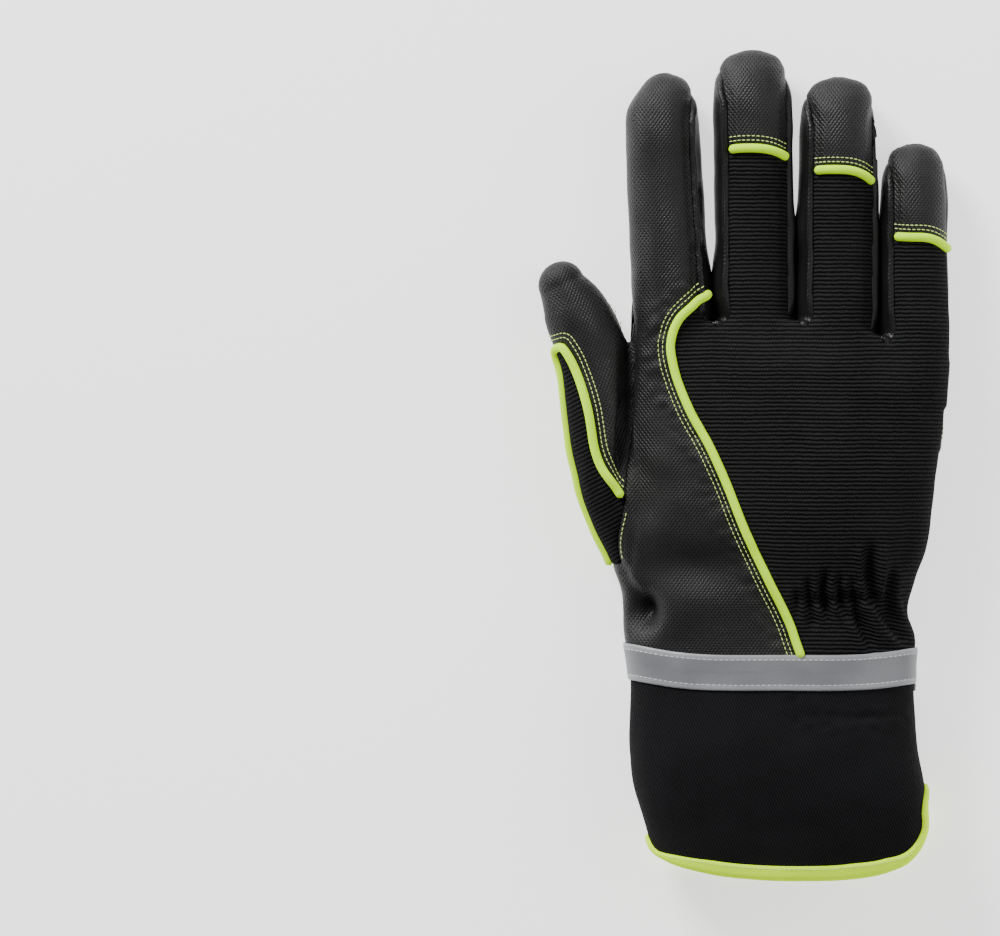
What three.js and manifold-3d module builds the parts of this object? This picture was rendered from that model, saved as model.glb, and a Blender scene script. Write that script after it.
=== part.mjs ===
// Right-hand mechanic glove lying on its palm: +X to the little finger, +Y to the fingertips, +Z up.
// The origin is on the resting surface under the heel patch. All lengths are in mm.
import * as THREE from 'three';
import { mergeVertices } from 'three/addons/utils/BufferGeometryUtils.js';
import Module from 'manifold-3d';

const wasm = await Module();
wasm.setup();

// Hand and cuff
const PALM_LENGTH = 114; // reflective tape to the web of the index finger
const CUFF_LENGTH = 69; // hem to reflective tape
const CUFF_WIDTH = 96;
const HAND_HEIGHT = 34; // back of the hand above the hand's own underside
const SEAM_HEIGHT = 13; // side seams above the resting surface
const ORIGIN_ALONG = 0.545; // place of the origin between tape and web
const KNUCKLE_DROP = 12; // the outer edge of the knuckles lies this far behind the index web
const GATHER_HEIGHT = 1.2; // pleats of the elastic at the wrist

// Fingers and thumb
const FINGER_WIDTH = 26;
const FINGER_LENGTH = 90.7; // middle finger from the knuckle line to its tip
const FINGER_GAP = 1.2;
const FINGER_HEIGHT = 23;
const FOURCHETTE_LOW = 5; // lower edge of the side strips above the resting surface
const FOURCHETTE_DEPTH = 3.5; // from a web back into the hand
const RADIAL_SEAM = 0.64; // back seams of a finger, as shares of its half width
const ULNAR_SEAM = 0.86;
const FOURCHETTE_TURN = 0.8; // up to this share of a finger's reach a side strip keeps its place
const FOURCHETTE_END = 0.94;
const FOURCHETTE_OUT = 1.02; // the strip's end across the finger, as a share of its half width
const TIP_LENGTH = 16; // rounded end of a finger
const THUMB_LENGTH = 106.5;
const THUMB_WIDTH = 24;
const THUMB_HEIGHT = 24;
const THUMB_SEAM = 12.5;

// Cloth, leather and trim
const WALL = 1.6;
const GAP = 0.3; // between pieces that meet
const PATCH = 1.6;
const PATCH_HEM = 1.5; // patch beyond its line of stitches
const PIPING = 3;
const TAPE_WIDTH = 11.7;
const TAPE_THICKNESS = 0.6;
const TAPE_STEP = 3; // step of the palm side of the tape towards the hem at the outer side seam
const BINDING_WIDTH = 5.3;
const BINDING_THICKNESS = 1;
const FLATTENING = 1.2; // how far a tube is pressed flat where it lies

// Facets round a section
const UPPER_FACETS = 32;
const LOWER_FACETS = 10;
const FINGER_FACETS = 12;
const INNER_SHARE = 0.5; // the inside has this share of the facets

// Roundness of a section: exponents of cosine and sine, less than 1 for fuller corners
const UPPER_ACROSS = 0.9;
const UPPER_UP = 0.8;
const LOWER_ROUND = 0.65;
const LEAST_RADIUS = 0.4;

// Fingers in order across the hand: width and reach as shares of the named ones, taper is the narrowing
// at the tip, cap the seam of the tip cap: its places along the finger from side to side
const FINGERS = [
  { name: 'index', width: 1, reach: 0.915, lean: -2.7, taper: 0.07, cap: null },
  { name: 'middle', width: 1, reach: 1, lean: -0.4, taper: 0, cap: [0.62, 0.632, 0.626, 0.589] },
  { name: 'ring', width: 1.015, reach: 0.917, lean: 0.6, taper: 0.02, cap: [0.613, 0.622, 0.616, 0.559] },
  { name: 'little', width: 0.877, reach: 0.757, lean: -0.3, taper: 0.03, cap: [0.549, 0.534, 0.529, 0.472] },
].map((row) => ({ ...row, width: row.width * FINGER_WIDTH, reach: row.reach * FINGER_LENGTH }));
const CAP_ACROSS = [-0.25, 0.35]; // the two middle places of that seam, as shares of the half width
const CAP_END = 1.2; // beyond the tip, as a share of the reach

// Sections of the cuff: along from the hem to the tape, left and right as shares of its half width
const CUFF_SECTIONS = [
  { along: -0.06, left: -0.87, right: 0.99, top: 0.97 },
  { along: 0.2, left: -0.905, right: 1.01, top: 1.04 },
  { along: 0.42, left: -0.997, right: 1, top: 1.08 },
  { along: 0.6, left: -1.034, right: 0.952, top: 1.06 },
];

// Sections of the hand: along from the tape to the web, left and right as shares of its half width
const HAND_SECTIONS = [
  { along: 0, left: -0.952, right: 0.84, top: 0.92 },
  { along: 0.09, left: -0.985, right: 0.845, top: 0.9 },
  { along: 0.165, left: -0.99, right: 0.8, top: 0.9 },
  { along: 0.255, left: -0.995, right: 0.845, top: 0.94 },
  { along: 0.342, left: -1.035, right: 0.914, top: 0.98 },
  { along: 0.476, left: -0.985, right: 0.957, top: 1 },
  { along: 0.66, left: -0.945, right: 1.005, top: 0.97 },
  { along: 0.835, left: -0.93, right: 1.03, top: 0.89 },
  { along: 1, left: -0.929, right: 1.05, top: 0.7 },
];

// Sections of a finger: along up to its rounded tip, wide of its half width, top and bottom of its height
const FINGER_SECTIONS = [
  { along: -0.35, wide: 0.86, top: 1.06, bottom: 0 },
  { along: 0, wide: 1, top: 1.1, bottom: 0 },
  { along: 0.35, wide: 1, top: 1.04, bottom: 0 },
  { along: 0.7, wide: 0.99, top: 0.97, bottom: 0 },
];
const TIP_SECTIONS = [
  { along: 0, wide: 0.975, top: 0.92, bottom: 0 },
  { along: 0.4, wide: 0.93, top: 0.84, bottom: 0.02 },
  { along: 0.67, wide: 0.82, top: 0.74, bottom: 0.09 },
  { along: 0.9, wide: 0.56, top: 0.6, bottom: 0.21 },
  { along: 1, wide: 0.24, top: 0.5, bottom: 0.32 },
];

// Sections of the thumb: out and up from its root as shares of its length, middle and high of its height
const THUMB_SECTIONS = [
  { out: 0, up: 0, wide: 1.16, middle: 0.54, high: 0.9 },
  { out: 0.09, up: 0.131, wide: 1.04, middle: 0.54, high: 0.94 },
  { out: 0.168, up: 0.272, wide: 0.85, middle: 0.54, high: 0.98 },
  { out: 0.208, up: 0.432, wide: 0.82, middle: 0.52, high: 0.98 },
  { out: 0.222, up: 0.563, wide: 0.83, middle: 0.52, high: 0.94 },
  { out: 0.231, up: 0.68, wide: 0.94, middle: 0.5, high: 0.9 },
  { out: 0.262, up: 0.77, wide: 1.06, middle: 0.49, high: 0.86 },
  { out: 0.312, up: 0.861, wide: 0.9, middle: 0.47, high: 0.78 },
  { out: 0.342, up: 0.93, wide: 0.69, middle: 0.44, high: 0.66 },
  { out: 0.353, up: 0.98, wide: 0.4, middle: 0.4, high: 0.42 },
  { out: 0.356, up: 1, wide: 0.13, middle: 0.38, high: 0.18 },
];

// Dents and bumps of the back: place and size as shares of half width and palm length, rise of the height
const FORMS = [
  { across: -0.85, along: 0.2, wide: 0.16, long: 0.12, rise: -0.05 },
  { across: -0.7, along: 0.9, wide: 0.2, long: 0.09, rise: 0.04 },
  { across: -0.18, along: 0.91, wide: 0.2, long: 0.09, rise: 0.045 },
  { across: 0.33, along: 0.88, wide: 0.2, long: 0.09, rise: 0.04 },
  { across: 0.8, along: 0.83, wide: 0.18, long: 0.09, rise: 0.035 },
  { across: 0.45, along: 0.45, wide: 0.5, long: 0.2, rise: 0.03 },
];

// Shares of a finger's reach over which it comes down onto its pad
const PAD_FROM = 0.58;
const PAD_TO = 0.8;

// The gathered window of the back: shares of half width and palm length
const GATHERS = { from: 0.1, to: 0.8, along: 0.19, long: 0.13 };

// Plan outlines on the hand: shares of half width across, of palm length along
const MAIN_SEAM = [
  [-0.472, 1.085], [-0.557, 1.049], [-0.653, 1.002], [-0.693, 0.939], [-0.674, 0.873], [-0.576, 0.745],
  [-0.456, 0.643], [-0.356, 0.541], [-0.237, 0.403], [-0.095, 0.264], [0.044, 0.134], [0.114, 0.042],
  [0.152, 0.001],
];
const UPPER_PATCH = [
  [-0.9, 0.994], [-0.875, 1.104], [-0.794, 1.197], [-0.674, 1.217], [-0.56, 1.197], [-0.5, 1.133],
  [-0.51, 1.057], [-0.53, 1.002], [-0.506, 0.979], [-0.394, 0.979], [-0.275, 1.02], [-0.163, 1.043],
  [-0.095, 1.026], [-0.044, 0.979], [0.025, 0.962], [0.182, 0.973], [0.326, 0.985], [0.4, 0.985],
  [0.451, 0.956], [0.525, 0.892], [0.625, 0.837], [0.818, 0.808], [0.95, 0.785], [0.95, 0.62],
  [0.72, 0.647], [0.424, 0.692], [0.125, 0.748], [-0.174, 0.785], [-0.53, 0.803], [-0.862, 0.837],
];
const HEEL_PATCH = [
  [-0.595, 0.678], [-0.562, 0.699], [-0.494, 0.725], [-0.375, 0.727], [-0.174, 0.713], [0.125, 0.676],
  [0.424, 0.62], [0.644, 0.585], [0.818, 0.56], [0.881, 0.542], [0.905, 0.496], [0.885, 0.42],
  [0.82, 0.311], [0.75, 0.18], [0.71, 0.125], [0.61, 0.095], [0.326, 0.072], [0.025, 0.085],
  [-0.174, 0.105], [-0.256, 0.134], [-0.288, 0.209], [-0.337, 0.291], [-0.345, 0.383], [-0.375, 0.496],
  [-0.456, 0.568], [-0.557, 0.643],
];
const SADDLE_SEAM = [
  [-0.862, 0.837], [-0.775, 0.763], [-0.612, 0.661], [-0.494, 0.589], [-0.413, 0.496], [-0.388, 0.403],
  [-0.413, 0.32], [-0.475, 0.247], [-0.595, 0.189], [-0.731, 0.154], [-0.85, 0.157], [-1.1, 0.195],
];
const TAPE_LINE = [
  [-1.3, 0.04], [-0.952, 0.022], [-0.7, 0.002], [0, -0.008], [0.6, -0.003], [0.84, 0.01], [1.3, 0.03],
];

// The hem on the cuff, round the corner into the vent at the little-finger side: shares of half width
// across, of cuff length along
const HEM_LINE = [
  [-1.25, 0.36], [-0.94, 0.22], [-0.888, 0.131], [-0.783, 0.083], [-0.55, 0.037], [-0.158, 0.005],
  [0.138, 0], [0.44, 0.005], [0.72, 0.036], [0.879, 0.083], [0.96, 0.144], [1.01, 0.22], [1.03, 0.39],
  [1.25, 0.47],
];

// Plan outlines on the thumb: out and up from its root as shares of its length
const THUMB_PATCH = [
  [0.18, 0.86], [0.263, 0.803], [0.306, 0.732], [0.295, 0.657], [0.265, 0.543], [0.232, 0.407],
  [0.2, 0.352], [0.172, 0.355], [0.158, 0.446], [0.158, 0.577], [0.16, 0.695], [0.169, 0.789],
];
const THUMB_PIPING = [[0.337, 0.76], [0.293, 0.62], [0.243, 0.472], [0.223, 0.344], [0.15, 0.281]];

// The rest of the outlines of thumb, ball of the thumb and insert, clear of the index finger
const EDGE_FROM = 0.25; // the thumb is set on the hand's edge from this share of the palm on
const EDGE_OUT = 0.004; // its seam lies this share of the half width outside that edge
const THUMB_BELOW = [[-1.2, 0.19], [-0.97, 0.197]];
const THUMB_BEYOND = [[-1, 1.05], [-1.07, 1.6], [-2.5, 1.6], [-2.5, 0.19]];
const SADDLE_CORNER = [-1.1, 0.837];
const INSERT_BELOW = [[-0.99, 0.4], [-1.03, 0.3], [-1.3, 0.26]];
const INSERT_OUTSIDE = [[0.5, 0.2], [0.5, 0.69]];

const FAR = 300; // beyond the glove on every side
const HALF_HAND = (
  FINGERS.reduce((sum, finger) => sum + finger.width, 0) + (FINGERS.length - 1) * FINGER_GAP
) / 2;
const HALF_CUFF = CUFF_WIDTH / 2;
const HAND_FLOOR = PATCH + GAP;
const BINDING_REACH = BINDING_THICKNESS + GAP; // from the cloth of the cuff to the outside of the binding
const FIRST_FINGER = HAND_SECTIONS.at(-1).left * HALF_HAND;

const palmY = (along) => (along - ORIGIN_ALONG) * PALM_LENGTH;
const webY = (x) => palmY(1) - KNUCKLE_DROP * Math.max(0, x / HALF_HAND) ** 2;
const onHand = ([across, along]) => new THREE.Vector2(across * HALF_HAND, palmY(along));
const onCuff = ([across, along]) => new THREE.Vector2(
  across * HALF_CUFF,
  palmY(0) - (1 - along) * CUFF_LENGTH,
);
const THUMB_ROOT = onHand([-0.68, 0.247]);
const onThumb = ([out, up]) => new THREE.Vector2(
  THUMB_ROOT.x - out * THUMB_LENGTH,
  THUMB_ROOT.y + up * THUMB_LENGTH,
);

// Finger axes: base on the knuckle line, direction from the lean
let edge = FIRST_FINGER;
for (const finger of FINGERS) {
  const x = edge + finger.width / 2;
  const angle = THREE.MathUtils.degToRad(finger.lean);
  finger.base = new THREE.Vector2(x, webY(x));
  finger.direction = new THREE.Vector2(Math.sin(angle), Math.cos(angle));
  finger.lateral = new THREE.Vector2(Math.cos(angle), -Math.sin(angle));
  edge += finger.width + FINGER_GAP;
}

const onFinger = (finger, across, along) => finger.base.clone()
  .addScaledVector(finger.lateral, across * finger.width / 2)
  .addScaledVector(finger.direction, along * finger.reach);

// A closed tube over rings of points, with a fan at either end
function loft(rings) {
  const count = rings[0].length;
  const positions = rings.flat().flatMap((point) => point.toArray());
  const triangles = [];
  for (let i = 0; i + 1 < rings.length; i += 1) {
    for (let j = 0; j < count; j += 1) {
      const a = i * count + j;
      const b = i * count + (j + 1) % count;
      triangles.push(a, a + count, b, a + count, b + count, b);
    }
  }
  const ends = [rings[0], rings.at(-1)];
  ends.forEach((ring, side) => {
    const centre = ring.reduce((sum, point) => sum.add(point), new THREE.Vector3());
    const tip = positions.length / 3;
    positions.push(...centre.divideScalar(count).toArray());
    const start = side * (rings.length - 1) * count;
    for (let j = 0; j < count; j += 1) {
      const a = start + j;
      const b = start + (j + 1) % count;
      triangles.push(tip, side ? b : a, side ? a : b);
    }
  });
  const geometry = new THREE.BufferGeometry();
  geometry.setAttribute('position', new THREE.Float32BufferAttribute(positions, 3));
  geometry.setIndex(triangles);
  return solid(geometry);
}

// The solid of a closed geometry
function solid(geometry) {
  const bare = geometry.clone();
  bare.deleteAttribute('normal');
  bare.deleteAttribute('uv');
  const merged = mergeVertices(bare);
  return new wasm.Manifold(new wasm.Mesh({
    numProp: 3,
    vertProperties: new Float32Array(merged.attributes.position.array),
    triVerts: new Uint32Array(merged.index.array),
  }));
}

// A plan outline extruded between two heights
function prism(outline, low, high) {
  const geometry = new THREE.ExtrudeGeometry(new THREE.Shape(outline), {
    depth: high - low,
    bevelEnabled: false,
  });
  geometry.translate(0, 0, low);
  return solid(geometry);
}

// A line moved sideways: positive distances to the left of its direction
function offsetLine(line, distance) {
  return line.map((point, i) => {
    const before = line[Math.max(i - 1, 0)];
    const after = line[Math.min(i + 1, line.length - 1)];
    const into = point.clone().sub(before).normalize();
    const out = after.clone().sub(point).normalize();
    const along = into.add(out).normalize();
    const run = (i === 0 ? out : point.clone().sub(before)).clone().normalize();
    const stretch = Math.max(along.dot(run), 0.5);
    return new THREE.Vector2(-along.y, along.x).multiplyScalar(distance / stretch).add(point);
  });
}

// A closed outline grown outwards, or shrunk where the distance is negative
function grow(outline, distance) {
  const turn = THREE.ShapeUtils.isClockWise(outline) ? 1 : -1;
  const closed = [outline.at(-1), ...outline, outline[0]];
  return offsetLine(closed, turn * distance).slice(1, -1);
}

// A zone of the glove over a plan outline; a positive margin takes the gap to its neighbours
const zone = (outline, margin, low = -FAR, high = FAR) => (
  prism(grow(outline, margin), low - margin, high + margin)
);

const slab = (low, high) => prism([
  new THREE.Vector2(-FAR, -FAR),
  new THREE.Vector2(FAR, -FAR),
  new THREE.Vector2(FAR, FAR),
  new THREE.Vector2(-FAR, FAR),
], low, high);

const strip = (line, width) => [
  ...offsetLine(line, width / 2),
  ...offsetLine(line, -width / 2).reverse(),
];

const bell = (value) => Math.exp(-value * value);

// Height of the dents and bumps at a place on the back
const formHeight = (across, along) => FORMS.reduce((sum, form) => (
  sum + form.rise * HAND_HEIGHT
    * bell((across - form.across) / form.wide) * bell((along - form.along) / form.long)
), 0);

// Pleats of the elastic: every second facet line is a crest
function gatherHeight(across, along, index) {
  const inside = across > GATHERS.from && across < GATHERS.to;
  const reach = Math.max(0, 1 - ((along - GATHERS.along) / GATHERS.long) ** 2);
  return inside && index % 2 ? GATHER_HEIGHT * reach : 0;
}

const power = (value, exponent) => Math.sign(value) * Math.abs(value) ** exponent;

// Sections of hand and cuff in mm
const BODY_SECTIONS = [
  ...CUFF_SECTIONS.map((row) => ({
    y: onCuff([0, row.along]).y,
    along: 0,
    left: row.left * HALF_CUFF,
    right: row.right * HALF_CUFF,
    top: row.top * HAND_HEIGHT,
    floor: THREE.MathUtils.lerp(BINDING_REACH, HAND_FLOOR, Math.max(0, row.along)),
  })),
  ...HAND_SECTIONS.map((row) => ({
    y: palmY(row.along),
    along: row.along,
    left: row.left * HALF_HAND,
    right: row.right * HALF_HAND,
    top: row.top * HAND_HEIGHT,
    floor: HAND_FLOOR,
  })),
];

// One ring of hand or cuff, moved outwards by an offset
function bodyRing(row, offset, upper, lower) {
  const middle = (row.left + row.right) / 2;
  const half = (row.right - row.left) / 2 + offset;
  const rise = row.top - SEAM_HEIGHT + offset;
  const drop = SEAM_HEIGHT - row.floor + offset + FLATTENING;
  const end = row.along === 1 ? offset : 0;
  return Array.from({ length: upper + lower }, (_, index) => {
    const isUpper = index < upper;
    const angle = Math.PI * (isUpper ? index / upper : 1 + (index - upper) / lower);
    const x = middle + half * power(Math.cos(angle), isUpper ? UPPER_ACROSS : LOWER_ROUND);
    const across = x / HALF_HAND;
    const back = KNUCKLE_DROP * Math.max(0, across) ** 2 * row.along ** 3;
    const sine = Math.abs(Math.sin(angle));
    const forms = formHeight(across, row.along) * sine;
    const gathers = offset < 0 ? 0 : gatherHeight(across, row.along, index);
    const z = isUpper
      ? SEAM_HEIGHT + rise * sine ** UPPER_UP + forms + gathers
      : Math.max(SEAM_HEIGHT - drop * sine ** LOWER_ROUND, row.floor - offset);
    return new THREE.Vector3(x, row.y + end - back, z);
  });
}

// One ring of a finger or the thumb, an ellipse pressed flat on its floor
function tubeRing(centre, lateral, half, middle, high, floor, facets) {
  return Array.from({ length: facets }, (_, index) => {
    const angle = 2 * Math.PI * (index + 0.5) / facets;
    const plan = centre.clone().addScaledVector(lateral, half * Math.cos(angle));
    return new THREE.Vector3(plan.x, plan.y, Math.max(floor, middle + high * Math.sin(angle)));
  });
}

const facetCount = (full, offset) => Math.round(full * (offset < 0 ? INNER_SHARE : 1));

function fingerTube(finger, offset) {
  const shaft = finger.reach - TIP_LENGTH;
  const rows = [
    ...FINGER_SECTIONS.map((row) => ({ ...row, distance: row.along * shaft })),
    ...TIP_SECTIONS.map((row) => ({ ...row, distance: shaft + row.along * TIP_LENGTH })),
  ];
  const facets = facetCount(FINGER_FACETS, offset);
  return loft(rows.map((row) => {
    const share = row.distance / finger.reach;
    const place = row.distance + offset * share;
    const centre = finger.base.clone().addScaledVector(finger.direction, place);
    const taper = 1 - finger.taper * Math.max(0, share) ** 2;
    const half = Math.max(row.wide * taper * finger.width / 2 + offset, LEAST_RADIUS);
    const middle = (row.top + row.bottom) / 2 * FINGER_HEIGHT - FLATTENING / 2;
    const high = Math.max((row.top - row.bottom) / 2 * FINGER_HEIGHT + offset, LEAST_RADIUS);
    const floor = HAND_FLOOR * (1 - THREE.MathUtils.smoothstep(share, PAD_FROM, PAD_TO)) - offset;
    return tubeRing(centre, finger.lateral, half, middle, high, floor, facets);
  }));
}

function thumbTube(offset) {
  const centres = THUMB_SECTIONS.map((row) => onThumb([row.out, row.up]));
  const facets = facetCount(FINGER_FACETS, offset);
  return loft(THUMB_SECTIONS.map((row, index) => {
    const before = centres[Math.max(index - 1, 0)];
    const after = centres[Math.min(index + 1, centres.length - 1)];
    const direction = after.clone().sub(before).normalize();
    const lateral = new THREE.Vector2(direction.y, -direction.x);
    const centre = centres[index].clone().addScaledVector(direction, offset * row.up);
    const half = Math.max(row.wide * THUMB_WIDTH / 2 + offset, LEAST_RADIUS);
    const middle = row.middle * THUMB_HEIGHT;
    const high = Math.max(row.high * THUMB_HEIGHT / 2 + offset, LEAST_RADIUS);
    return tubeRing(centre, lateral, half, middle, high, HAND_FLOOR - offset, facets);
  }));
}

// The whole glove as one closed form, moved outwards by an offset
const handForms = new Map();
function hand(offset) {
  if (!handForms.has(offset)) {
    const upper = facetCount(UPPER_FACETS, offset);
    const lower = facetCount(LOWER_FACETS, offset);
    let form = loft(BODY_SECTIONS.map((row) => bodyRing(row, offset, upper, lower)));
    for (const finger of FINGERS) {
      form = form.add(fingerTube(finger, offset));
    }
    handForms.set(offset, form.add(thumbTube(offset)));
  }
  return handForms.get(offset);
}

const layer = (inner, outer) => hand(outer).subtract(hand(inner));

// Plan lines and zones of the seams
const mainSeam = MAIN_SEAM.map(onHand);
const tapeLine = TAPE_LINE.map(onHand);
const hemLine = HEM_LINE.map(onCuff);
const thumbLine = THUMB_PIPING.map(onThumb);
const slotX = FIRST_FINGER + FINGERS[0].width + FINGER_GAP / 2;

const backOutline = [
  new THREE.Vector2(slotX, FAR),
  new THREE.Vector2(slotX, mainSeam[0].y + GAP),
  ...mainSeam,
  new THREE.Vector2(mainSeam.at(-1).x, palmY(0) - TAPE_WIDTH),
  new THREE.Vector2(FAR, palmY(0) - TAPE_WIDTH),
  new THREE.Vector2(FAR, FAR),
];

const cuffOutline = [...tapeLine, new THREE.Vector2(FAR, -FAR), new THREE.Vector2(-FAR, -FAR)];

// Everything on the hand's side of the hem line, moved from it by a distance
const aboveHem = (distance) => [
  ...offsetLine(hemLine, distance),
  new THREE.Vector2(FAR, FAR),
  new THREE.Vector2(-FAR, FAR),
];

// The side strip between two neighbouring fingers
function fourchetteOutline(first, second) {
  const start = onFinger(first, ULNAR_SEAM, 0);
  const end = onFinger(second, -RADIAL_SEAM, 0);
  return [
    new THREE.Vector2(start.x, webY(start.x) - FOURCHETTE_DEPTH),
    onFinger(first, ULNAR_SEAM, FOURCHETTE_TURN),
    onFinger(first, FOURCHETTE_OUT, FOURCHETTE_END),
    onFinger(second, -FOURCHETTE_OUT, FOURCHETTE_END),
    onFinger(second, -RADIAL_SEAM, FOURCHETTE_TURN),
    new THREE.Vector2(end.x, webY(end.x) - FOURCHETTE_DEPTH),
  ];
}

// The seam line of a tip cap, between two places across the finger
const capLine = (finger, from, to) => [from, ...CAP_ACROSS, to].map((across, index) => (
  onFinger(finger, across, finger.cap[index])
));

const capOutline = (finger) => {
  const side = 1 + FINGER_GAP / finger.width;
  return [
    ...capLine(finger, -side, side),
    onFinger(finger, side, CAP_END),
    onFinger(finger, -side, CAP_END),
  ];
};

// The hand's edge beside the thumb, on which the thumb is set
const handEdge = HAND_SECTIONS
  .filter((row) => row.along > EDGE_FROM)
  .map((row) => onHand([row.left - EDGE_OUT, row.along]));

const thumbOutline = [...THUMB_BELOW.map(onHand), ...handEdge, ...THUMB_BEYOND.map(onHand)];
const saddleOutline = [...SADDLE_SEAM, SADDLE_CORNER].map(onHand);

// The cloth insert between the inner thumb piping and the outer side seam
const insertOutline = [
  ...thumbLine,
  ...INSERT_BELOW.map(onHand),
  ...INSERT_OUTSIDE.map(onThumb),
];

const shell = layer(-WALL, 0);
const margin = GAP / 2;
const fourchettes = FINGERS.slice(1).map((finger, index) => ({
  name: `fourchette_${FINGERS[index].name}_${finger.name}`,
  outline: fourchetteOutline(FINGERS[index], finger),
}));
const capped = FINGERS.filter((finger) => finger.cap);

// Cut away every given zone, each with the gap around it
const without = (form, zones) => zones.reduce((rest, cut) => rest.subtract(cut), form);

const backCut = zone(backOutline, margin, SEAM_HEIGHT);
const cuffCut = zone(cuffOutline, margin);
const fourchetteCuts = fourchettes.map(({ outline }) => zone(outline, margin, FOURCHETTE_LOW));
const capCuts = capped.map((finger) => zone(capOutline(finger), margin));
const thumbCut = zone(thumbOutline, margin);
const saddleCut = zone(saddleOutline, margin, -FAR, THUMB_SEAM);

const palmLeather = without(shell, [backCut, cuffCut, ...fourchetteCuts, thumbCut, saddleCut]);
const back = shell.intersect(zone(backOutline, -margin, SEAM_HEIGHT));
const backKnit = without(back, [cuffCut, ...fourchetteCuts, ...capCuts]);
const thumbShell = shell.intersect(
  zone(thumbOutline, -margin).add(zone(saddleOutline, -margin, -FAR, THUMB_SEAM)),
);
const thumbUpper = thumbShell.intersect(zone(thumbOutline, -margin, THUMB_SEAM));
const thumbPalm = thumbShell.intersect(slab(-FAR, THUMB_SEAM - margin));
const thumbBack = thumbUpper.subtract(zone(insertOutline, margin));
const thumbKnit = thumbUpper.intersect(zone(insertOutline, -margin));

// Trim sewn onto the outside
const tapeZone = strip(tapeLine, TAPE_WIDTH);
const steppedTape = tapeZone.map((point) => {
  const share = THREE.MathUtils.clamp((point.x / HALF_HAND + 1) / 2, 0, 1);
  return new THREE.Vector2(point.x, point.y - TAPE_STEP * share);
});
const tapeLayer = layer(GAP, GAP + TAPE_THICKNESS);
const tapeBack = tapeLayer.intersect(prism(tapeZone, SEAM_HEIGHT + margin, FAR));
const tapePalm = tapeLayer.intersect(prism(steppedTape, -FAR, SEAM_HEIGHT - margin));

const patchLayer = layer(GAP, GAP + PATCH);
const patch = (outline) => (
  patchLayer.intersect(prism(grow(outline, PATCH_HEM), -FAR, SEAM_HEIGHT - PIPING))
);

const beadLayer = layer(GAP, PIPING);
const bead = (line) => beadLayer.intersect(prism(strip(line, PIPING), SEAM_HEIGHT + margin, FAR));
const pipingBack = bead(mainSeam).subtract(prism(grow(tapeZone, GAP), -FAR, FAR));
const pipingInner = beadLayer
  .intersect(prism(strip(thumbLine, PIPING), THUMB_SEAM + PIPING / 2 + GAP, FAR))
  .intersect(zone(thumbOutline, -PIPING / 2));
const pipingOuter = beadLayer
  .intersect(prism(insertOutline, THUMB_SEAM - PIPING / 2, THUMB_SEAM + PIPING / 2))
  .intersect(zone(thumbOutline, -PIPING / 2));

// The hem: cloth ends inside a channel of binding
const cuff = shell.intersect(zone(cuffOutline, -margin))
  .intersect(prism(aboveHem(BINDING_REACH), -FAR, FAR));
const hemBinding = layer(-WALL - BINDING_REACH, BINDING_REACH)
  .intersect(prism(aboveHem(0), -FAR, FAR))
  .subtract(prism(aboveHem(BINDING_WIDTH), -FAR, FAR))
  .subtract(layer(-WALL - GAP, GAP).intersect(prism(aboveHem(BINDING_THICKNESS), -FAR, FAR)));

// Finishes
const leather = new THREE.MeshStandardMaterial({ color: 0x1d1e20, roughness: 0.55, metalness: 0 });
const patchLeather = new THREE.MeshStandardMaterial({ color: 0x222326, roughness: 0.6, metalness: 0 });
const knit = new THREE.MeshStandardMaterial({ color: 0x0e0e10, roughness: 0.95, metalness: 0 });
const twill = new THREE.MeshStandardMaterial({ color: 0x0c0c0e, roughness: 0.9, metalness: 0 });
const reflective = new THREE.MeshStandardMaterial({ color: 0x8c8d92, roughness: 0.35, metalness: 0.3 });
const yellow = new THREE.MeshStandardMaterial({ color: 0xd8fa30, roughness: 0.7, metalness: 0 });

const glove = new THREE.Group();

// Add a piece: the largest body of its solid
function add(name, piece, material) {
  const [largest] = piece.decompose().sort((a, b) => b.volume() - a.volume());
  const { vertProperties, triVerts } = largest.getMesh();
  const geometry = new THREE.BufferGeometry();
  geometry.setAttribute('position', new THREE.Float32BufferAttribute(vertProperties, 3));
  geometry.setIndex(Array.from(triVerts));
  const mesh = new THREE.Mesh(geometry, material);
  mesh.name = name;
  glove.add(mesh);
}

add('palm_leather', palmLeather, leather);
add('back_knit', backKnit, knit);
capped.forEach((finger) => {
  const cap = back.intersect(zone(capOutline(finger), -margin));
  add(`cap_${finger.name}`, without(cap, fourchetteCuts), leather);
  add(`piping_${finger.name}`, bead(capLine(finger, -RADIAL_SEAM, 1)), yellow);
});
for (const { name, outline } of fourchettes) {
  add(name, shell.intersect(zone(outline, -margin, FOURCHETTE_LOW)), leather);
}
add('thumb_palm', thumbPalm, leather);
add('thumb_back', thumbBack, leather);
add('thumb_knit', thumbKnit, knit);
add('upper_patch', patch(UPPER_PATCH.map(onHand)), patchLeather);
add('heel_patch', patch(HEEL_PATCH.map(onHand)), patchLeather);
add('thumb_patch', patch(THUMB_PATCH.map(onThumb)), patchLeather);
add('piping_back', pipingBack, yellow);
add('piping_thumb_inner', pipingInner, yellow);
add('piping_thumb_outer', pipingOuter, yellow);
add('tape_back', tapeBack, reflective);
add('tape_palm', tapePalm, reflective);
add('cuff', cuff, twill);
add('hem_binding', hemBinding, yellow);

export default glove;
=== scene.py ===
"""Looks of a right-hand work glove that lies on its palm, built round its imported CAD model.

The frame is the model's own: +X to the little finger, +Y to the fingertips, +Z up from the surface.
Lengths are in millimetres, as in the model's source, and become metres where a mesh is made.
"""

import logging
import math
from collections.abc import Callable
from dataclasses import dataclass, field
from enum import Enum
from functools import cached_property

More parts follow.
